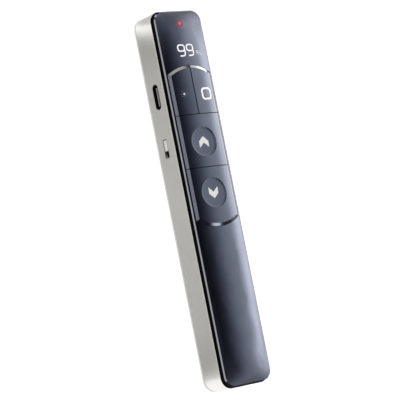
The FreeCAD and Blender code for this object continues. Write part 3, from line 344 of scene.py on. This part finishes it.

# %% [markdown]
# ## Satin silver paint
#
# The rear shell is moulded ABS, sprayed with a silver paint and a satin clear coat. Fine aluminium
# flakes float in the paint, so it is partly a metal to the eye: it mirrors the white floor softly, and
# a fine grain shows where flakes lie at an angle. Real flakes are about 0.03 mm wide, too fine to show
# here, so the grain is drawn at 0.25 mm. The spray leaves a very shallow orange peel, about 1.5 mm
# from crest to crest.
#
# Inside the openings the shell is painted near-black: painted shade, where the light doesn't reach. The
# material measures its depth under the skin, and changes to that black where the depth is more than a
# set reach, which is longer in the switch's slot, so that the slot's lit ledge stays silver.

# %% Silver paint
FLAKE = 0.25 * MM
PEEL = 1.5 * MM
PEEL_RISE = 0.02 * MM
SHADE_DEPTH = 0.08 * MM
SLOT_SHADE_DEPTH = 0.9 * MM
# The slot's half length in half lengths of its knob, and the room above and below the knob
SLOT_SPAN = 2.5
SLOT_MARGIN = 0.3 * MM
# The shell's plan, and the top of its back wall, below which the shell stays silver all over
SHELL_HALF = (10.7 * MM, 68 * MM, 0)
SHELL_CORNER = 4.3 * MM
SHADE_FROM = 1.3 * MM


def shade_black(tree):
    """Near-black, dull plastic: painted shade for openings and gaps."""
    return add(tree, "ShaderNodeBsdfPrincipled", {
        "Base Color": linear("#070708"), "Roughness": 0.6, "Specular IOR Level": 0.2})


def depth_inside(tree, place):
    """Depth under the shell's upright skin, whose plan is a rectangle with round corners."""
    folded = add(tree, "ShaderNodeVectorMath", {"operation": "ABSOLUTE"}, {0: place.outputs["Object"]})
    core = tuple(max(half - SHELL_CORNER, 0) for half in SHELL_HALF)
    over = add(tree, "ShaderNodeVectorMath", {"operation": "SUBTRACT", 1: core}, {0: folded.outputs[0]})
    outer = add(tree, "ShaderNodeVectorMath", {"operation": "MAXIMUM"}, {0: over.outputs[0]})
    flat = add(tree, "ShaderNodeVectorMath", {"operation": "MULTIPLY", 1: (1, 1, 0)}, {0: outer.outputs[0]})
    length = add(tree, "ShaderNodeVectorMath", {"operation": "LENGTH"}, {0: flat.outputs[0]})
    return add(tree, "ShaderNodeMath", {"operation": "SUBTRACT", 0: SHELL_CORNER}, {
        1: length.outputs["Value"]})


def silver_paint():
    material, tree = new_material("abs_sprayed_satin_silver")
    place = add(tree, "ShaderNodeTexCoord")
    flakes = add(tree, "ShaderNodeTexVoronoi", {"Scale": 1 / FLAKE}, {"Vector": place.outputs["Object"]})
    grain = add(tree, "ShaderNodeSeparateColor", None, {0: flakes.outputs["Color"]})
    colour = ramp(tree, grain.outputs[0], [(0.0, linear("#CFCECB")), (1.0, linear("#D9D8D5"))])
    rough = add(tree, "ShaderNodeMapRange", {"To Min": 0.28, "To Max": 0.36}, {"Value": grain.outputs[1]})
    peel = add(tree, "ShaderNodeTexNoise", {"Scale": 1 / PEEL, "Detail": 1.0},
               {"Vector": place.outputs["Object"]})
    bump = add(tree, "ShaderNodeBump", {"Strength": 0.12, "Distance": PEEL_RISE},
               {"Height": peel.outputs["Fac"]})
    paint = add(tree, "ShaderNodeBsdfPrincipled", {
        "Metallic": 0.9, "IOR": 1.5, "Coat Weight": 0.25, "Coat Roughness": 0.25},
        {"Base Color": colour.outputs["Color"], "Roughness": rough.outputs[0], "Normal": bump.outputs[0]})
    split = add(tree, "ShaderNodeSeparateXYZ", None, {0: place.outputs["Object"]})
    low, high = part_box("power_switch_knob")
    middle, half = (low + high) / 2, (high - low) / 2
    level = add(tree, "ShaderNodeMath", {"operation": "COMPARE", 1: middle.z, 2: half.z + SLOT_MARGIN},
                {0: split.outputs["Z"]})
    beside = add(tree, "ShaderNodeMath", {"operation": "COMPARE", 1: middle.y, 2: half.y * SLOT_SPAN},
                 {0: split.outputs["Y"]})
    in_slot = add(tree, "ShaderNodeMath", {"operation": "MULTIPLY"}, {
        0: level.outputs[0], 1: beside.outputs[0]})
    reach = add(tree, "ShaderNodeMapRange", {"To Min": SHADE_DEPTH, "To Max": SLOT_SHADE_DEPTH},
                {"Value": in_slot.outputs[0]})
    deep = add(tree, "ShaderNodeMath", {"operation": "GREATER_THAN"},
               {0: depth_inside(tree, place).outputs[0], 1: reach.outputs[0]})
    above = add(tree, "ShaderNodeMath", {"operation": "GREATER_THAN", 1: SHADE_FROM},
                {0: split.outputs["Z"]})
    painted_shade = add(tree, "ShaderNodeMath", {"operation": "MULTIPLY"}, {0: deep.outputs[0], 1: above.outputs[0]})
    # Past the set depth the shell is painted near-black: painted shade inside the openings.
    shell = add(tree, "ShaderNodeMixShader", None, {
        0: painted_shade.outputs[0], 1: paint.outputs[0], 2: shade_black(tree).outputs[0]})
    finish_surface(tree, shell)
    return material


# The depths under the skin past which the shell shows painted shade.
print("spray reach in mm:", round(SHADE_DEPTH / MM, 2), "and in the slot:", round(SLOT_SHADE_DEPTH / MM, 2))

# %% [markdown]
# ## Dark gloss lacquer
#
# The face and the buttons are polycarbonate with a blue-grey metallic lacquer under a clear coat. The
# lacquer's own colour is dark, and its fine pigment mirrors the surroundings broadly, which gives the
# slow sweep from black to lavender, while the clear coat adds a sharp, faint mirror on top. Walls that
# stand upright in the gaps are painted near-black instead: painted shade in the gaps. Each dish has a
# soft lip inside its rim, drawn as a bump, and a faint red glow is painted into the lacquer next to the
# lit indicator, as the light it spills.

# %% Gloss lacquer
DISH_CENTRES = {"up": 19.26 * MM, "down": 0.78 * MM}
DISH_RADIUS = 5.4 * MM
DISH_MARGIN = 1.1
FACE_TOP = 14.1 * MM
CLOUD = 6 * MM
LACQUER_RISE = 0.01 * MM
LIP_WIDTH = 0.8 * MM
LIP_RISE = 0.05 * MM
HALO = (1.1 * MM, 2.2 * MM)
HALO_GLOW = 0.13
HALO_TINT = "#C8506A"
# The upward part of the normal below which walls take the painted gap shade, and where the lacquer is full
SHADE_TILT = (0.1, 0.3)


def lamp_middle():
    """Middle of the indicator."""
    low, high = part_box("indicator_lens")
    return (low + high) / 2


def gloss_lacquer(name, tone, roughness):
    material, tree = new_material(name)
    place = add(tree, "ShaderNodeTexCoord")
    cloud = add(tree, "ShaderNodeTexNoise", {"Scale": 1 / CLOUD, "Detail": 2.0},
                {"Vector": place.outputs["Object"]})
    colour = ramp(tree, cloud.outputs["Fac"], [(0.3, linear(tone[0])), (0.7, linear(tone[1]))])
    rough = add(tree, "ShaderNodeMapRange", {"To Min": roughness - 0.02, "To Max": roughness + 0.02},
                {"Value": cloud.outputs["Fac"]})
    peel = add(tree, "ShaderNodeTexNoise", {"Scale": 1 / PEEL, "Detail": 0.0},
               {"Vector": place.outputs["Object"]})
    bump = add(tree, "ShaderNodeBump", {"Strength": 0.05, "Distance": LACQUER_RISE},
               {"Height": peel.outputs["Fac"]})
    dishes = [add(tree, "ShaderNodeVectorMath", {"operation": "DISTANCE", 1: (0, centre, FACE_TOP)},
                  {0: place.outputs["Object"]}) for centre in DISH_CENTRES.values()]
    for reach in dishes:
        lip = add(tree, "ShaderNodeMapRange", {
            "From Min": DISH_RADIUS - LIP_WIDTH, "From Max": DISH_RADIUS}, {"Value": reach.outputs["Value"]})
        bump = add(tree, "ShaderNodeBump", {"Distance": LIP_RISE},
                   {"Height": lip.outputs[0], "Normal": bump.outputs[0]})
    # A painted glow: red emission in the lacquer round the indicator.
    halo = add(tree, "ShaderNodeMapRange", {
        "From Min": HALO[0], "From Max": HALO[1], "To Min": HALO_GLOW, "To Max": 0.0},
        {"Value": plan_reach(tree, place, lamp_middle())})
    lacquer = add(tree, "ShaderNodeBsdfPrincipled", {
        "Metallic": 1.0, "Coat Weight": 1.0, "Coat Roughness": 0.04, "Coat IOR": 1.5,
        "Emission Color": linear(HALO_TINT)},
        {"Base Color": colour.outputs["Color"], "Roughness": rough.outputs[0], "Normal": bump.outputs[0],
         "Emission Strength": halo.outputs[0]})
    facing = add(tree, "ShaderNodeSeparateXYZ", None, {0: place.outputs["Normal"]})
    facing_up = add(tree, "ShaderNodeMapRange", {
        "interpolation_type": "SMOOTHSTEP", "From Min": SHADE_TILT[0], "From Max": SHADE_TILT[1]},
        {"Value": facing.outputs["Z"]})
    cover = facing_up
    for reach in dishes:
        near = add(tree, "ShaderNodeMath", {"operation": "LESS_THAN", 1: DISH_RADIUS * DISH_MARGIN},
                   {0: reach.outputs["Value"]})
        cover = add(tree, "ShaderNodeMath", {"operation": "MAXIMUM"}, {
            0: cover.outputs[0], 1: near.outputs[0]})
    # Upright walls take near-black plastic: painted shade in the gaps.
    piece = add(tree, "ShaderNodeMixShader", None, {
        0: cover.outputs[0], 1: shade_black(tree).outputs[0], 2: lacquer.outputs[0]})
    finish_surface(tree, piece)
    return material


print("indicator's middle in mm:", [round(value / MM, 2) for value in lamp_middle()])

# %% [markdown]
# ## Plain finishes
#
# The other pieces each have one plain finish: moulded plastics with a fine grain, rolled or plated
# metals, epoxy and foam. They differ in colour, gloss and grain only, so one function makes them all
# from a table. The grain is a noise of the real size of the mould's texture or the metal's rolling
# marks. It moves the colour and the roughness a little, and raises the surface by a few microns.

# %% Plain finishes
# name: light tone, dark tone, metallic, roughness, grain in mm, stretch of the grain along Y
PLAIN = {
    "switch_steel": ("steel_stamped", "#B9BABA", "#CFCFCC", 1.0, 0.32, 0.20, 8),
    "plunger_plastic": ("acetal_moulded_red", "#8E1C18", "#A32620", 0.0, 0.45, 0.30, 1),
    "board_laminate": ("glass_laminate_green_mask", "#0B4A26", "#135C33", 0.0, 0.30, 0.60, 1),
    "chip_epoxy": ("epoxy_moulded_black", "#17171A", "#242427", 0.0, 0.60, 0.15, 1),
    "crystal_can": ("steel_drawn_can", "#C6C6C2", "#D6D6D2", 1.0, 0.25, 0.25, 3),
    "antenna_body": ("ceramic_fired_white", "#D8D6CC", "#E4E2DA", 0.0, 0.55, 0.20, 1),
    "display_block": ("polycarbonate_moulded_black", "#1C1C20", "#26262B", 0.0, 0.50, 0.25, 1),
    "led_epoxy": ("epoxy_cast_cream", "#EFE3B4", "#F6EECB", 0.0, 0.18, 0.40, 1),
    "socket_steel": ("steel_drawn_black_nickel", "#1C1C1E", "#29292B", 1.0, 0.28, 0.20, 6),
    "socket_plastic": ("polyamide_moulded_grey", "#8A8A88", "#9A9A97", 0.0, 0.48, 0.20, 1),
    "barrel_brass": ("brass_turned", "#C9A457", "#D9B76C", 1.0, 0.26, 0.12, 1),
    "cell_foil": ("aluminium_foil_embossed", "#C9CACC", "#DBDCDD", 1.0, 0.34, 0.50, 2),
    "foam_pad": ("foam_closed_cell_black", "#1B1B1B", "#2B2B2B", 0.0, 0.90, 0.35, 1),
    "nickel_strip": ("nickel_rolled", "#C3C1BA", "#D2D0C9", 1.0, 0.30, 0.15, 10),
    "screw_steel": ("steel_black_zinc", "#4B4B4D", "#5D5D60", 1.0, 0.38, 0.15, 1),
    "receiver_black": ("abs_moulded_fine_texture", "#1D1D20", "#29292C", 0.0, 0.50, 0.25, 1),
    "bay_black": ("abs_moulded_matt_black", "#1A1A1C", "#242426", 0.0, 0.62, 0.30, 1),
    "magnet_nickel": ("magnet_nickel_plated", "#CFCECA", "#DEDDD9", 1.0, 0.12, 0.30, 1),
}
GRAIN_RISE = 0.01 * MM


def plain_finish(name, dark, light, metallic, roughness, grain_mm, stretch):
    material, tree = new_material(name)
    place = add(tree, "ShaderNodeTexCoord")
    drawn = add(tree, "ShaderNodeMapping", {"Scale": (1, 1 / stretch, 1)},
                {"Vector": place.outputs["Object"]})
    grain = add(tree, "ShaderNodeTexNoise", {"Scale": 1 / (grain_mm * MM), "Detail": 3.0},
                {"Vector": drawn.outputs[0]})
    colour = ramp(tree, grain.outputs["Fac"], [(0.25, linear(dark)), (0.75, linear(light))])
    rough = add(tree, "ShaderNodeMapRange", {"To Min": roughness * 0.85, "To Max": roughness * 1.15},
                {"Value": grain.outputs["Fac"]})
    bump = add(tree, "ShaderNodeBump", {"Strength": 0.25, "Distance": GRAIN_RISE},
               {"Height": grain.outputs["Fac"]})
    surface = add(tree, "ShaderNodeBsdfPrincipled", {"Metallic": metallic, "IOR": 1.5}, {
        "Base Color": colour.outputs["Color"], "Roughness": rough.outputs[0], "Normal": bump.outputs[0]})
    finish_surface(tree, surface)
    return material


print("plain finishes:", len(PLAIN))

# %% [markdown]
# ## Lens, window and knob
#
# The indicator is a red polycarbonate light pipe, lit from below: it glows most in its middle and
# fades towards its rim. The laser leaves through a clear polished window, and its collimating lens is
# the same clear glass. The band between the shell and the face is soft black plastic that mirrors
# almost nothing. The power knob is plastic too, but plated with chrome, so its ribs catch the light.

# %% Lens, window and knob
LENS_GLOW = 0.3
LENS_RADIUS = 1.2 * MM
HAZE = 0.8 * MM
MOULD_GRAIN = 0.3 * MM


def red_lens():
    material, tree = new_material("polycarbonate_red_lit")
    place = add(tree, "ShaderNodeTexCoord")
    share = add(tree, "ShaderNodeMath", {"operation": "DIVIDE", 1: LENS_RADIUS},
                {0: plan_reach(tree, place, lamp_middle())})
    colour = ramp(tree, share.outputs[0], [
        (0.0, linear("#E07A8A")), (0.5, linear("#C85868")), (1.0, linear("#8A4050"))], "EASE")
    lens = add(tree, "ShaderNodeBsdfPrincipled", {
        "Roughness": 0.18, "IOR": 1.58, "Emission Strength": LENS_GLOW},
        {"Base Color": colour.outputs["Color"], "Emission Color": colour.outputs["Color"]})
    finish_surface(tree, lens)
    return material


def clear_glass():
    material, tree = new_material("glass_polished_clear")
    place = add(tree, "ShaderNodeTexCoord")
    haze = add(tree, "ShaderNodeTexNoise", {"Scale": 1 / HAZE, "Detail": 2.0},
               {"Vector": place.outputs["Object"]})
    rough = add(tree, "ShaderNodeMapRange", {"To Min": 0.01, "To Max": 0.05},
                {"Value": haze.outputs["Fac"]})
    glass = add(tree, "ShaderNodeBsdfPrincipled", {
        "Base Color": linear("#EAF2F6"), "Transmission Weight": 1.0, "IOR": 1.52},
        {"Roughness": rough.outputs[0]})
    finish_surface(tree, glass)
    return material


def soft_black():
    material, tree = new_material("abs_moulded_soft_touch_black")
    place = add(tree, "ShaderNodeTexCoord")
    grain = add(tree, "ShaderNodeTexNoise", {"Scale": 1 / MOULD_GRAIN, "Detail": 3.0},
                {"Vector": place.outputs["Object"]})
    colour = ramp(tree, grain.outputs["Fac"], [(0.3, linear("#030304")), (0.7, linear("#070708"))])
    rough = add(tree, "ShaderNodeMapRange", {"To Min": 0.6, "To Max": 0.8}, {"Value": grain.outputs["Fac"]})
    bump = add(tree, "ShaderNodeBump", {"Strength": 0.2, "Distance": GRAIN_RISE},
               {"Height": grain.outputs["Fac"]})
    rubber = add(tree, "ShaderNodeBsdfPrincipled", {"Specular IOR Level": 0.04}, {
        "Base Color": colour.outputs["Color"], "Roughness": rough.outputs[0], "Normal": bump.outputs[0]})
    finish_surface(tree, rubber)
    return material


def plated_knob():
    material, tree = new_material("abs_plated_polished_chrome")
    place = add(tree, "ShaderNodeTexCoord")
    grain = add(tree, "ShaderNodeTexNoise", {"Scale": 1 / MOULD_GRAIN, "Detail": 2.0},
                {"Vector": place.outputs["Object"]})
    colour = ramp(tree, grain.outputs["Fac"], [(0.3, linear("#EDEDEB")), (0.7, linear("#F8F8F6"))])
    rough = add(tree, "ShaderNodeMapRange", {"To Min": 0.16, "To Max": 0.22},
                {"Value": grain.outputs["Fac"]})
    knob = add(tree, "ShaderNodeBsdfPrincipled", {"Metallic": 1.0}, {
        "Base Color": colour.outputs["Color"], "Roughness": rough.outputs[0]})
    finish_surface(tree, knob)
    return material


print("lens radius in mm:", round(LENS_RADIUS / MM, 2))

# %% [markdown]
# ## Dress the frame
#
# Each solid in the frame says which slot of the record its finish belongs to. The table of finishes is
# made once and given to every solid that names the slot.

# %% Dress the frame
FACE_TONES = ("#757884", "#7D808C")
FACE_ROUGHNESS = 0.16
KNOB_ROUND = 0.05 * MM
finishes = {slot: plain_finish(*values) for slot, values in PLAIN.items()}
finishes["silver_paint"] = silver_paint()
finishes["panel_gloss"] = gloss_lacquer("lacquer_sprayed_blue_grey_face", FACE_TONES, FACE_ROUGHNESS)
finishes["button_gloss"] = gloss_lacquer("lacquer_sprayed_blue_grey_buttons", FACE_TONES, FACE_ROUGHNESS)
finishes["lens_red"] = red_lens()
finishes["lens_clear"] = clear_glass()
finishes["knob_plastic"] = plated_knob()
finishes["black_band"] = soft_black()
slot_of = {part["node"]: part["material_slot"] for part in frame["record"]["subparts"]}
for name, solid in nodes.items():
    solid.material_slots[0].material = finishes[slot_of[name]]
knob_edge = nodes["power_switch_knob"].modifiers.new("edge", "BEVEL")
knob_edge.width = KNOB_ROUND
knob_edge.segments = 2
print("finishes:", len(finishes))

# %% [markdown]
# ## Tongue of the charging port
#
# In the middle of a charging port stands a thin plastic tongue with a row of gold contacts above and
# one below. The frame has it as a plain block, and its front edge is what shows as a grey line in the
# port. A grid of thin boxes makes the contacts, joined to the tongue in one piece, with its long edges
# rounded by a Bevel modifier.

# %% Port tongue
TONGUE_INSET = 0.5 * MM
CONTACTS = 12
CONTACT_PITCH = 0.5 * MM
CONTACT_WIDTH = 0.26 * MM
CONTACT_REACH = (0.35 * MM, 3.4 * MM)
CONTACT_RISE = 0.03 * MM
TONGUE_THICKNESS = 0.7 * MM
GOLD = ("copper_gold_plated", "#D8A84A", "#E6BB62", 1.0, 0.2, 0.1, 1)


def add_box(mesh, low, high, slot):
    """A box between two corners, in a material slot."""
    corners = bmesh.ops.create_cube(mesh, size=1)["verts"]
    for corner in corners:
        corner.co = Vector([low[i] if corner.co[i] < 0 else high[i] for i in range(3)])
    for face in {face for corner in corners for face in corner.link_faces}:
        face.material_index = slot


def build_tongue():
    low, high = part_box("usb_socket_tongue")
    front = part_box("rear_shell")[0].x + TONGUE_INSET
    middle = (low + high) / 2
    half = TONGUE_THICKNESS / 2
    mesh = bmesh.new()
    add_box(mesh, (front, low.y, middle.z - half), (high.x, high.y, middle.z + half), 0)
    for side in (-1, 1):
        skin = middle.z + side * half
        heights = sorted((skin, skin + side * CONTACT_RISE))
        for step in range(CONTACTS):
            y = middle.y + (step - (CONTACTS - 1) / 2) * CONTACT_PITCH
            add_box(mesh, (front + CONTACT_REACH[0], y - CONTACT_WIDTH / 2, heights[0]),
                    (front + CONTACT_REACH[1], y + CONTACT_WIDTH / 2, heights[1]), 1)
    data = bpy.data.meshes.new("port_tongue")
    mesh.to_mesh(data)
    mesh.free()
    data.materials.append(finishes["socket_plastic"])
    data.materials.append(plain_finish(*GOLD))
    piece = bpy.data.objects.new("port_tongue", data)
    bpy.context.scene.collection.objects.link(piece)
    edge = piece.modifiers.new("edge", "BEVEL")
    edge.width = CONTACT_RISE / 2
    edge.segments = 2
    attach(piece, "casing")
    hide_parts("usb_socket_tongue")
    return piece


print("tongue faces:", len(build_tongue().data.polygons))

# %% [markdown]
# ## Signs on the face
#
# The digits, the arrows and the button signs are printed in white. On the real object the print is a
# film a few hundredths of a millimetre thick. Each sign is drawn as bands between two edges, and most
# bands are strokes: a path of points and a width. A band becomes a strip of small faces, and every
# corner of the strip is dropped on the solid below it and lifted by the film's thickness, so the print
# follows the crown and the dishes.

# %% Bands and strokes
FILM = 0.03 * MM
BAND_STEP = 0.35 * MM
MITRE_LIMIT = 0.35


def arc(centre, radius, start, end, count):
    """Points along a circular arc, by angles in degrees."""
    angles = [math.radians(start + (end - start) * step / count) for step in range(count + 1)]
    return [Vector((centre[0] + radius * math.cos(a), centre[1] + radius * math.sin(a))) for a in angles]


def circle(centre, radius):
    """Twelve points round a circle, for a closed stroke."""
    return arc(centre, radius, 0, 330, 11)


def side_steps(points, closed):
    """For each point the sideways vector that keeps a stroke's width even round corners."""
    count = len(points)
    steps = []
    for index in range(count):
        before = points[index] - points[index - 1] if closed or index else None
        after = points[(index + 1) % count] - points[index] if closed or index < count - 1 else None
        normals = [Vector((-step.y, step.x)).normalized() for step in (before, after) if step is not None]
        middle = sum(normals, Vector((0, 0))).normalized()
        steps.append(middle / max(MITRE_LIMIT, middle.dot(normals[0])))
    return steps


def stroke(points, width, closed=False):
    """A band of even width along a path."""
    steps = side_steps(points, closed)
    left = [point + step * width / 2 for point, step in zip(points, steps)]
    right = [point - step * width / 2 for point, step in zip(points, steps)]
    return left, right, closed


def finer(band):
    """The same band with more cross lines, so that no step is longer than BAND_STEP."""
    left, right, closed = band
    count = len(left)
    rows = []
    for index in range(count if closed else count - 1):
        follows = (index + 1) % count
        reach = max((left[follows] - left[index]).length, (right[follows] - right[index]).length)
        parts = max(1, math.ceil(reach / BAND_STEP))
        for part in range(parts):
            share = part / parts
            rows.append((left[index].lerp(left[follows], share), right[index].lerp(right[follows], share)))
    return rows if closed else rows + [(left[-1], right[-1])]


sample = stroke([Vector((0, 0)), Vector((0, 4 * MM))], FILM)
print("cross lines in a stroke of 4 mm:", len(finer(sample)))

# %% [markdown]
# A search tree over the solid's faces finds the height below each point. The strip gets a thickness
# from a Solidify modifier, so that it is a closed body and not a sheet without a back. That is a little
# less than its lift, so its underside stays clear of the solid.

# %% Lay a print
ABOVE_ALL = 1.0
FILM_SHARE = 0.8


def lay_print(name, body, solid, bands, material):
    """One printed sign, laid on a solid as a thin film."""
    shape = bmesh.new()
    shape.from_mesh(nodes[solid].data)
    tree = BVHTree.FromBMesh(shape)
    shape.free()
    mesh = bmesh.new()
    for band in bands:
        lines = []
        for left, right in finer(band):
            across = max(1, math.ceil((left - right).length / BAND_STEP))
            lines.append((left, right, across))
        across = max(line[2] for line in lines)
        rows = []
        for left, right, _ in lines:
            row = []
            for step in range(across + 1):
                place = left.lerp(right, step / across)
                below = tree.ray_cast(Vector((place.x, place.y, ABOVE_ALL)), Vector((0, 0, -1)))[0]
                row.append(mesh.verts.new(below + Vector((0, 0, FILM))))
            rows.append(row)
        following = rows[1:] + rows[:1] if band[2] else rows[1:]
        for first, second in zip(rows, following):
            for step in range(across):
                mesh.faces.new((first[step], first[step + 1], second[step + 1], second[step]))
    for face in mesh.faces:
        face.normal_update()
        if face.normal.z < 0:
            face.normal_flip()
        face.smooth = True
    data = bpy.data.meshes.new(name)
    mesh.to_mesh(data)
    mesh.free()
    data.materials.append(material)
    piece = bpy.data.objects.new(name, data)
    bpy.context.scene.collection.objects.link(piece)
    film = piece.modifiers.new("film", "SOLIDIFY")
    film.thickness = FILM * FILM_SHARE
    film.offset = -1
    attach(piece, body)
    print(name, "faces", len(data.polygons))
    return piece


# %% [markdown]
# Every sign is screen printed, in whites that differ a little, and the small sun in grey. The digits
# are lit display segments, so they glow. The white inks glow a little as well: painted light that
# keeps the printed signs bright.

# %% Inks
SCREEN = 0.2 * MM


def ink(name, tone, glow):
    material, tree = new_material(name)
    place = add(tree, "ShaderNodeTexCoord")
    screen = add(tree, "ShaderNodeTexNoise", {"Scale": 1 / SCREEN, "Detail": 1.0},
                 {"Vector": place.outputs["Object"]})
    colour = ramp(tree, screen.outputs["Fac"], [(0.3, linear(tone[0])), (0.7, linear(tone[1]))])
    layer = add(tree, "ShaderNodeBsdfPrincipled", {
        "Roughness": 0.45, "IOR": 1.5, "Emission Strength": glow},
        {"Base Color": colour.outputs["Color"], "Emission Color": colour.outputs["Color"]})
    finish_surface(tree, layer)
    return material


white_ink = ink("ink_screen_printed_white", ("#F0F2F6", "#FAFBFE"), 0.60)
arrow_ink = ink("ink_screen_printed_soft_white", ("#E6E8E6", "#F0F2F0"), 0.32)
lit_digits = ink("display_segments_lit_white", ("#F6F7FA", "#FFFFFF"), 0.55)
pale_ink = ink("ink_screen_printed_pale", ("#D6D8DE", "#E2E4EA"), 0.32)
faint_ink = ink("ink_screen_printed_grey", ("#70727C", "#80828C"), 0.0)
print("inks:", [layer.name for layer in (white_ink, arrow_ink, lit_digits, pale_ink, faint_ink)])

# %% [markdown]
# ## Digits
#
# The display shows the battery charge as two digits. A nine is a ring with rounded corners above, and
# a hook below: down the right side and back along the foot. Both digits are the same function, moved
# sideways.

# %% Digits
DIGIT_WIDTH = 2.72 * MM
DIGIT_HEIGHT = 4.0 * MM
DIGIT_STROKE = 0.47 * MM
DIGIT_ROUND = 0.85 * MM
DIGIT_LEFTS = (-3.25 * MM, 0.48 * MM)
DIGIT_FOOT = 50.72 * MM
# Heights and places in shares of a digit
WAIST_SHARE = 0.44
HOOK_SHARE = 0.18
CORNER_STEPS = 5


def rounded_path(left, right, bottom, top, radius):
    """Closed rectangle with round corners, anticlockwise."""
    return (arc((right - radius, bottom + radius), radius, -90, 0, CORNER_STEPS)
            + arc((right - radius, top - radius), radius, 0, 90, CORNER_STEPS)
            + arc((left + radius, top - radius), radius, 90, 180, CORNER_STEPS)
            + arc((left + radius, bottom + radius), radius, 180, 270, CORNER_STEPS))


def nine(left):
    """The two bands of a nine: its ring and its hook."""
    right, top = left + DIGIT_WIDTH, DIGIT_FOOT + DIGIT_HEIGHT
    waist = DIGIT_FOOT + DIGIT_HEIGHT * WAIST_SHARE
    ring = rounded_path(left, right, waist, top, DIGIT_ROUND)
    hook = [Vector((right, waist + DIGIT_ROUND))]
    hook += arc((right - DIGIT_ROUND, DIGIT_FOOT + DIGIT_ROUND), DIGIT_ROUND, 0, -90, CORNER_STEPS)
    hook.append(Vector((left + DIGIT_WIDTH * HOOK_SHARE, DIGIT_FOOT)))
    return [stroke(ring, DIGIT_STROKE, True), stroke(hook, DIGIT_STROKE)]


for number, left in enumerate(DIGIT_LEFTS, start=1):
    lay_print("digit_%d" % number, "casing", "front_panel", nine(left), lit_digits)

# %% [markdown]
# A small percent sign stands to the right of the digits: a slanting bar between two little rings.

# %% Percent sign
PERCENT_LOW, PERCENT_HIGH = Vector((4.7, 50.75)) * MM, Vector((7.2, 52.35)) * MM
PERCENT_STROKE = 0.33 * MM
PERCENT_RING = 0.4 * MM
PERCENT_INSET = Vector((0.55, 0)) * MM
percent = [stroke([PERCENT_LOW + PERCENT_INSET, PERCENT_HIGH - PERCENT_INSET], PERCENT_STROKE)]
for x, y in ((PERCENT_LOW.x + PERCENT_RING, PERCENT_HIGH.y - PERCENT_RING),
             (PERCENT_HIGH.x - PERCENT_RING, PERCENT_LOW.y + PERCENT_RING)):
    percent.append(stroke(circle((x, y), PERCENT_RING), PERCENT_STROKE, True))
lay_print("percent_sign", "casing", "front_panel", percent, pale_ink)

# %% [markdown]
# ## Button signs
#
# The mode button carries a rounded square outline, and the laser button a small sun: a dot in a ring
# of eight rays.

# %% Button signs
RING_CENTRE = Vector((5.2, 36.45)) * MM
RING_HALF = Vector((1.95, 1.90)) * MM
RING_STROKE = 0.66 * MM
RING_ROUND = 0.95 * MM
ring = rounded_path(RING_CENTRE.x - RING_HALF.x, RING_CENTRE.x + RING_HALF.x,
                    RING_CENTRE.y - RING_HALF.y, RING_CENTRE.y + RING_HALF.y, RING_ROUND)
lay_print("mode_sign", "mode_key", "mode_button", [stroke(ring, RING_STROKE, True)], white_ink)

SUN_CENTRE = Vector((-4.5, 36.9)) * MM
SUN_CORE = 0.42 * MM
CORE_SHARE = 0.96
SUN_RAYS = 8
SUN_REACH = (0.85 * MM, 1.5 * MM)
SUN_STROKE = 0.2 * MM
core = stroke(circle(SUN_CENTRE, SUN_CORE / 2), SUN_CORE * CORE_SHARE, True)
lay_print("laser_sign_core", "laser_key", "laser_button", [core], pale_ink)
sun = []
for step in range(SUN_RAYS):
    angle = math.tau * step / SUN_RAYS
    ray = Vector((math.cos(angle), math.sin(angle)))
    sun.append(stroke([SUN_CENTRE + ray * reach for reach in SUN_REACH], SUN_STROKE))
lay_print("laser_sign", "laser_key", "laser_button", sun, faint_ink)

# %% [markdown]
# The two large buttons each have an arrow head in the middle of their dish. It is one band between two
# bent lines, cut off upright at both ends, so it isn't drawn as a stroke.

# %% Arrow heads
ARROW_HALF = 2.0 * MM
ARROW_TIP = 2.04 * MM
ARROW_SHOULDER = 0.24 * MM
ARROW_NOTCH = -0.31 * MM
ARROW_FOOT = -2.06 * MM


def arrow_head(centre, way):
    """The one band of an arrow head that points along +Y or -Y."""
    outer = [(-ARROW_HALF, ARROW_SHOULDER), (0, ARROW_TIP), (ARROW_HALF, ARROW_SHOULDER)]
    inner = [(-ARROW_HALF, ARROW_FOOT), (0, ARROW_NOTCH), (ARROW_HALF, ARROW_FOOT)]
    return tuple([Vector((x, centre + way * y)) for x, y in edge] for edge in (outer, inner)) + (False,)


for label, way in (("up", 1), ("down", -1)):
    lay_print(label + "_sign", label + "_key", label + "_button",
              [arrow_head(DISH_CENTRES[label], way)], arrow_ink)
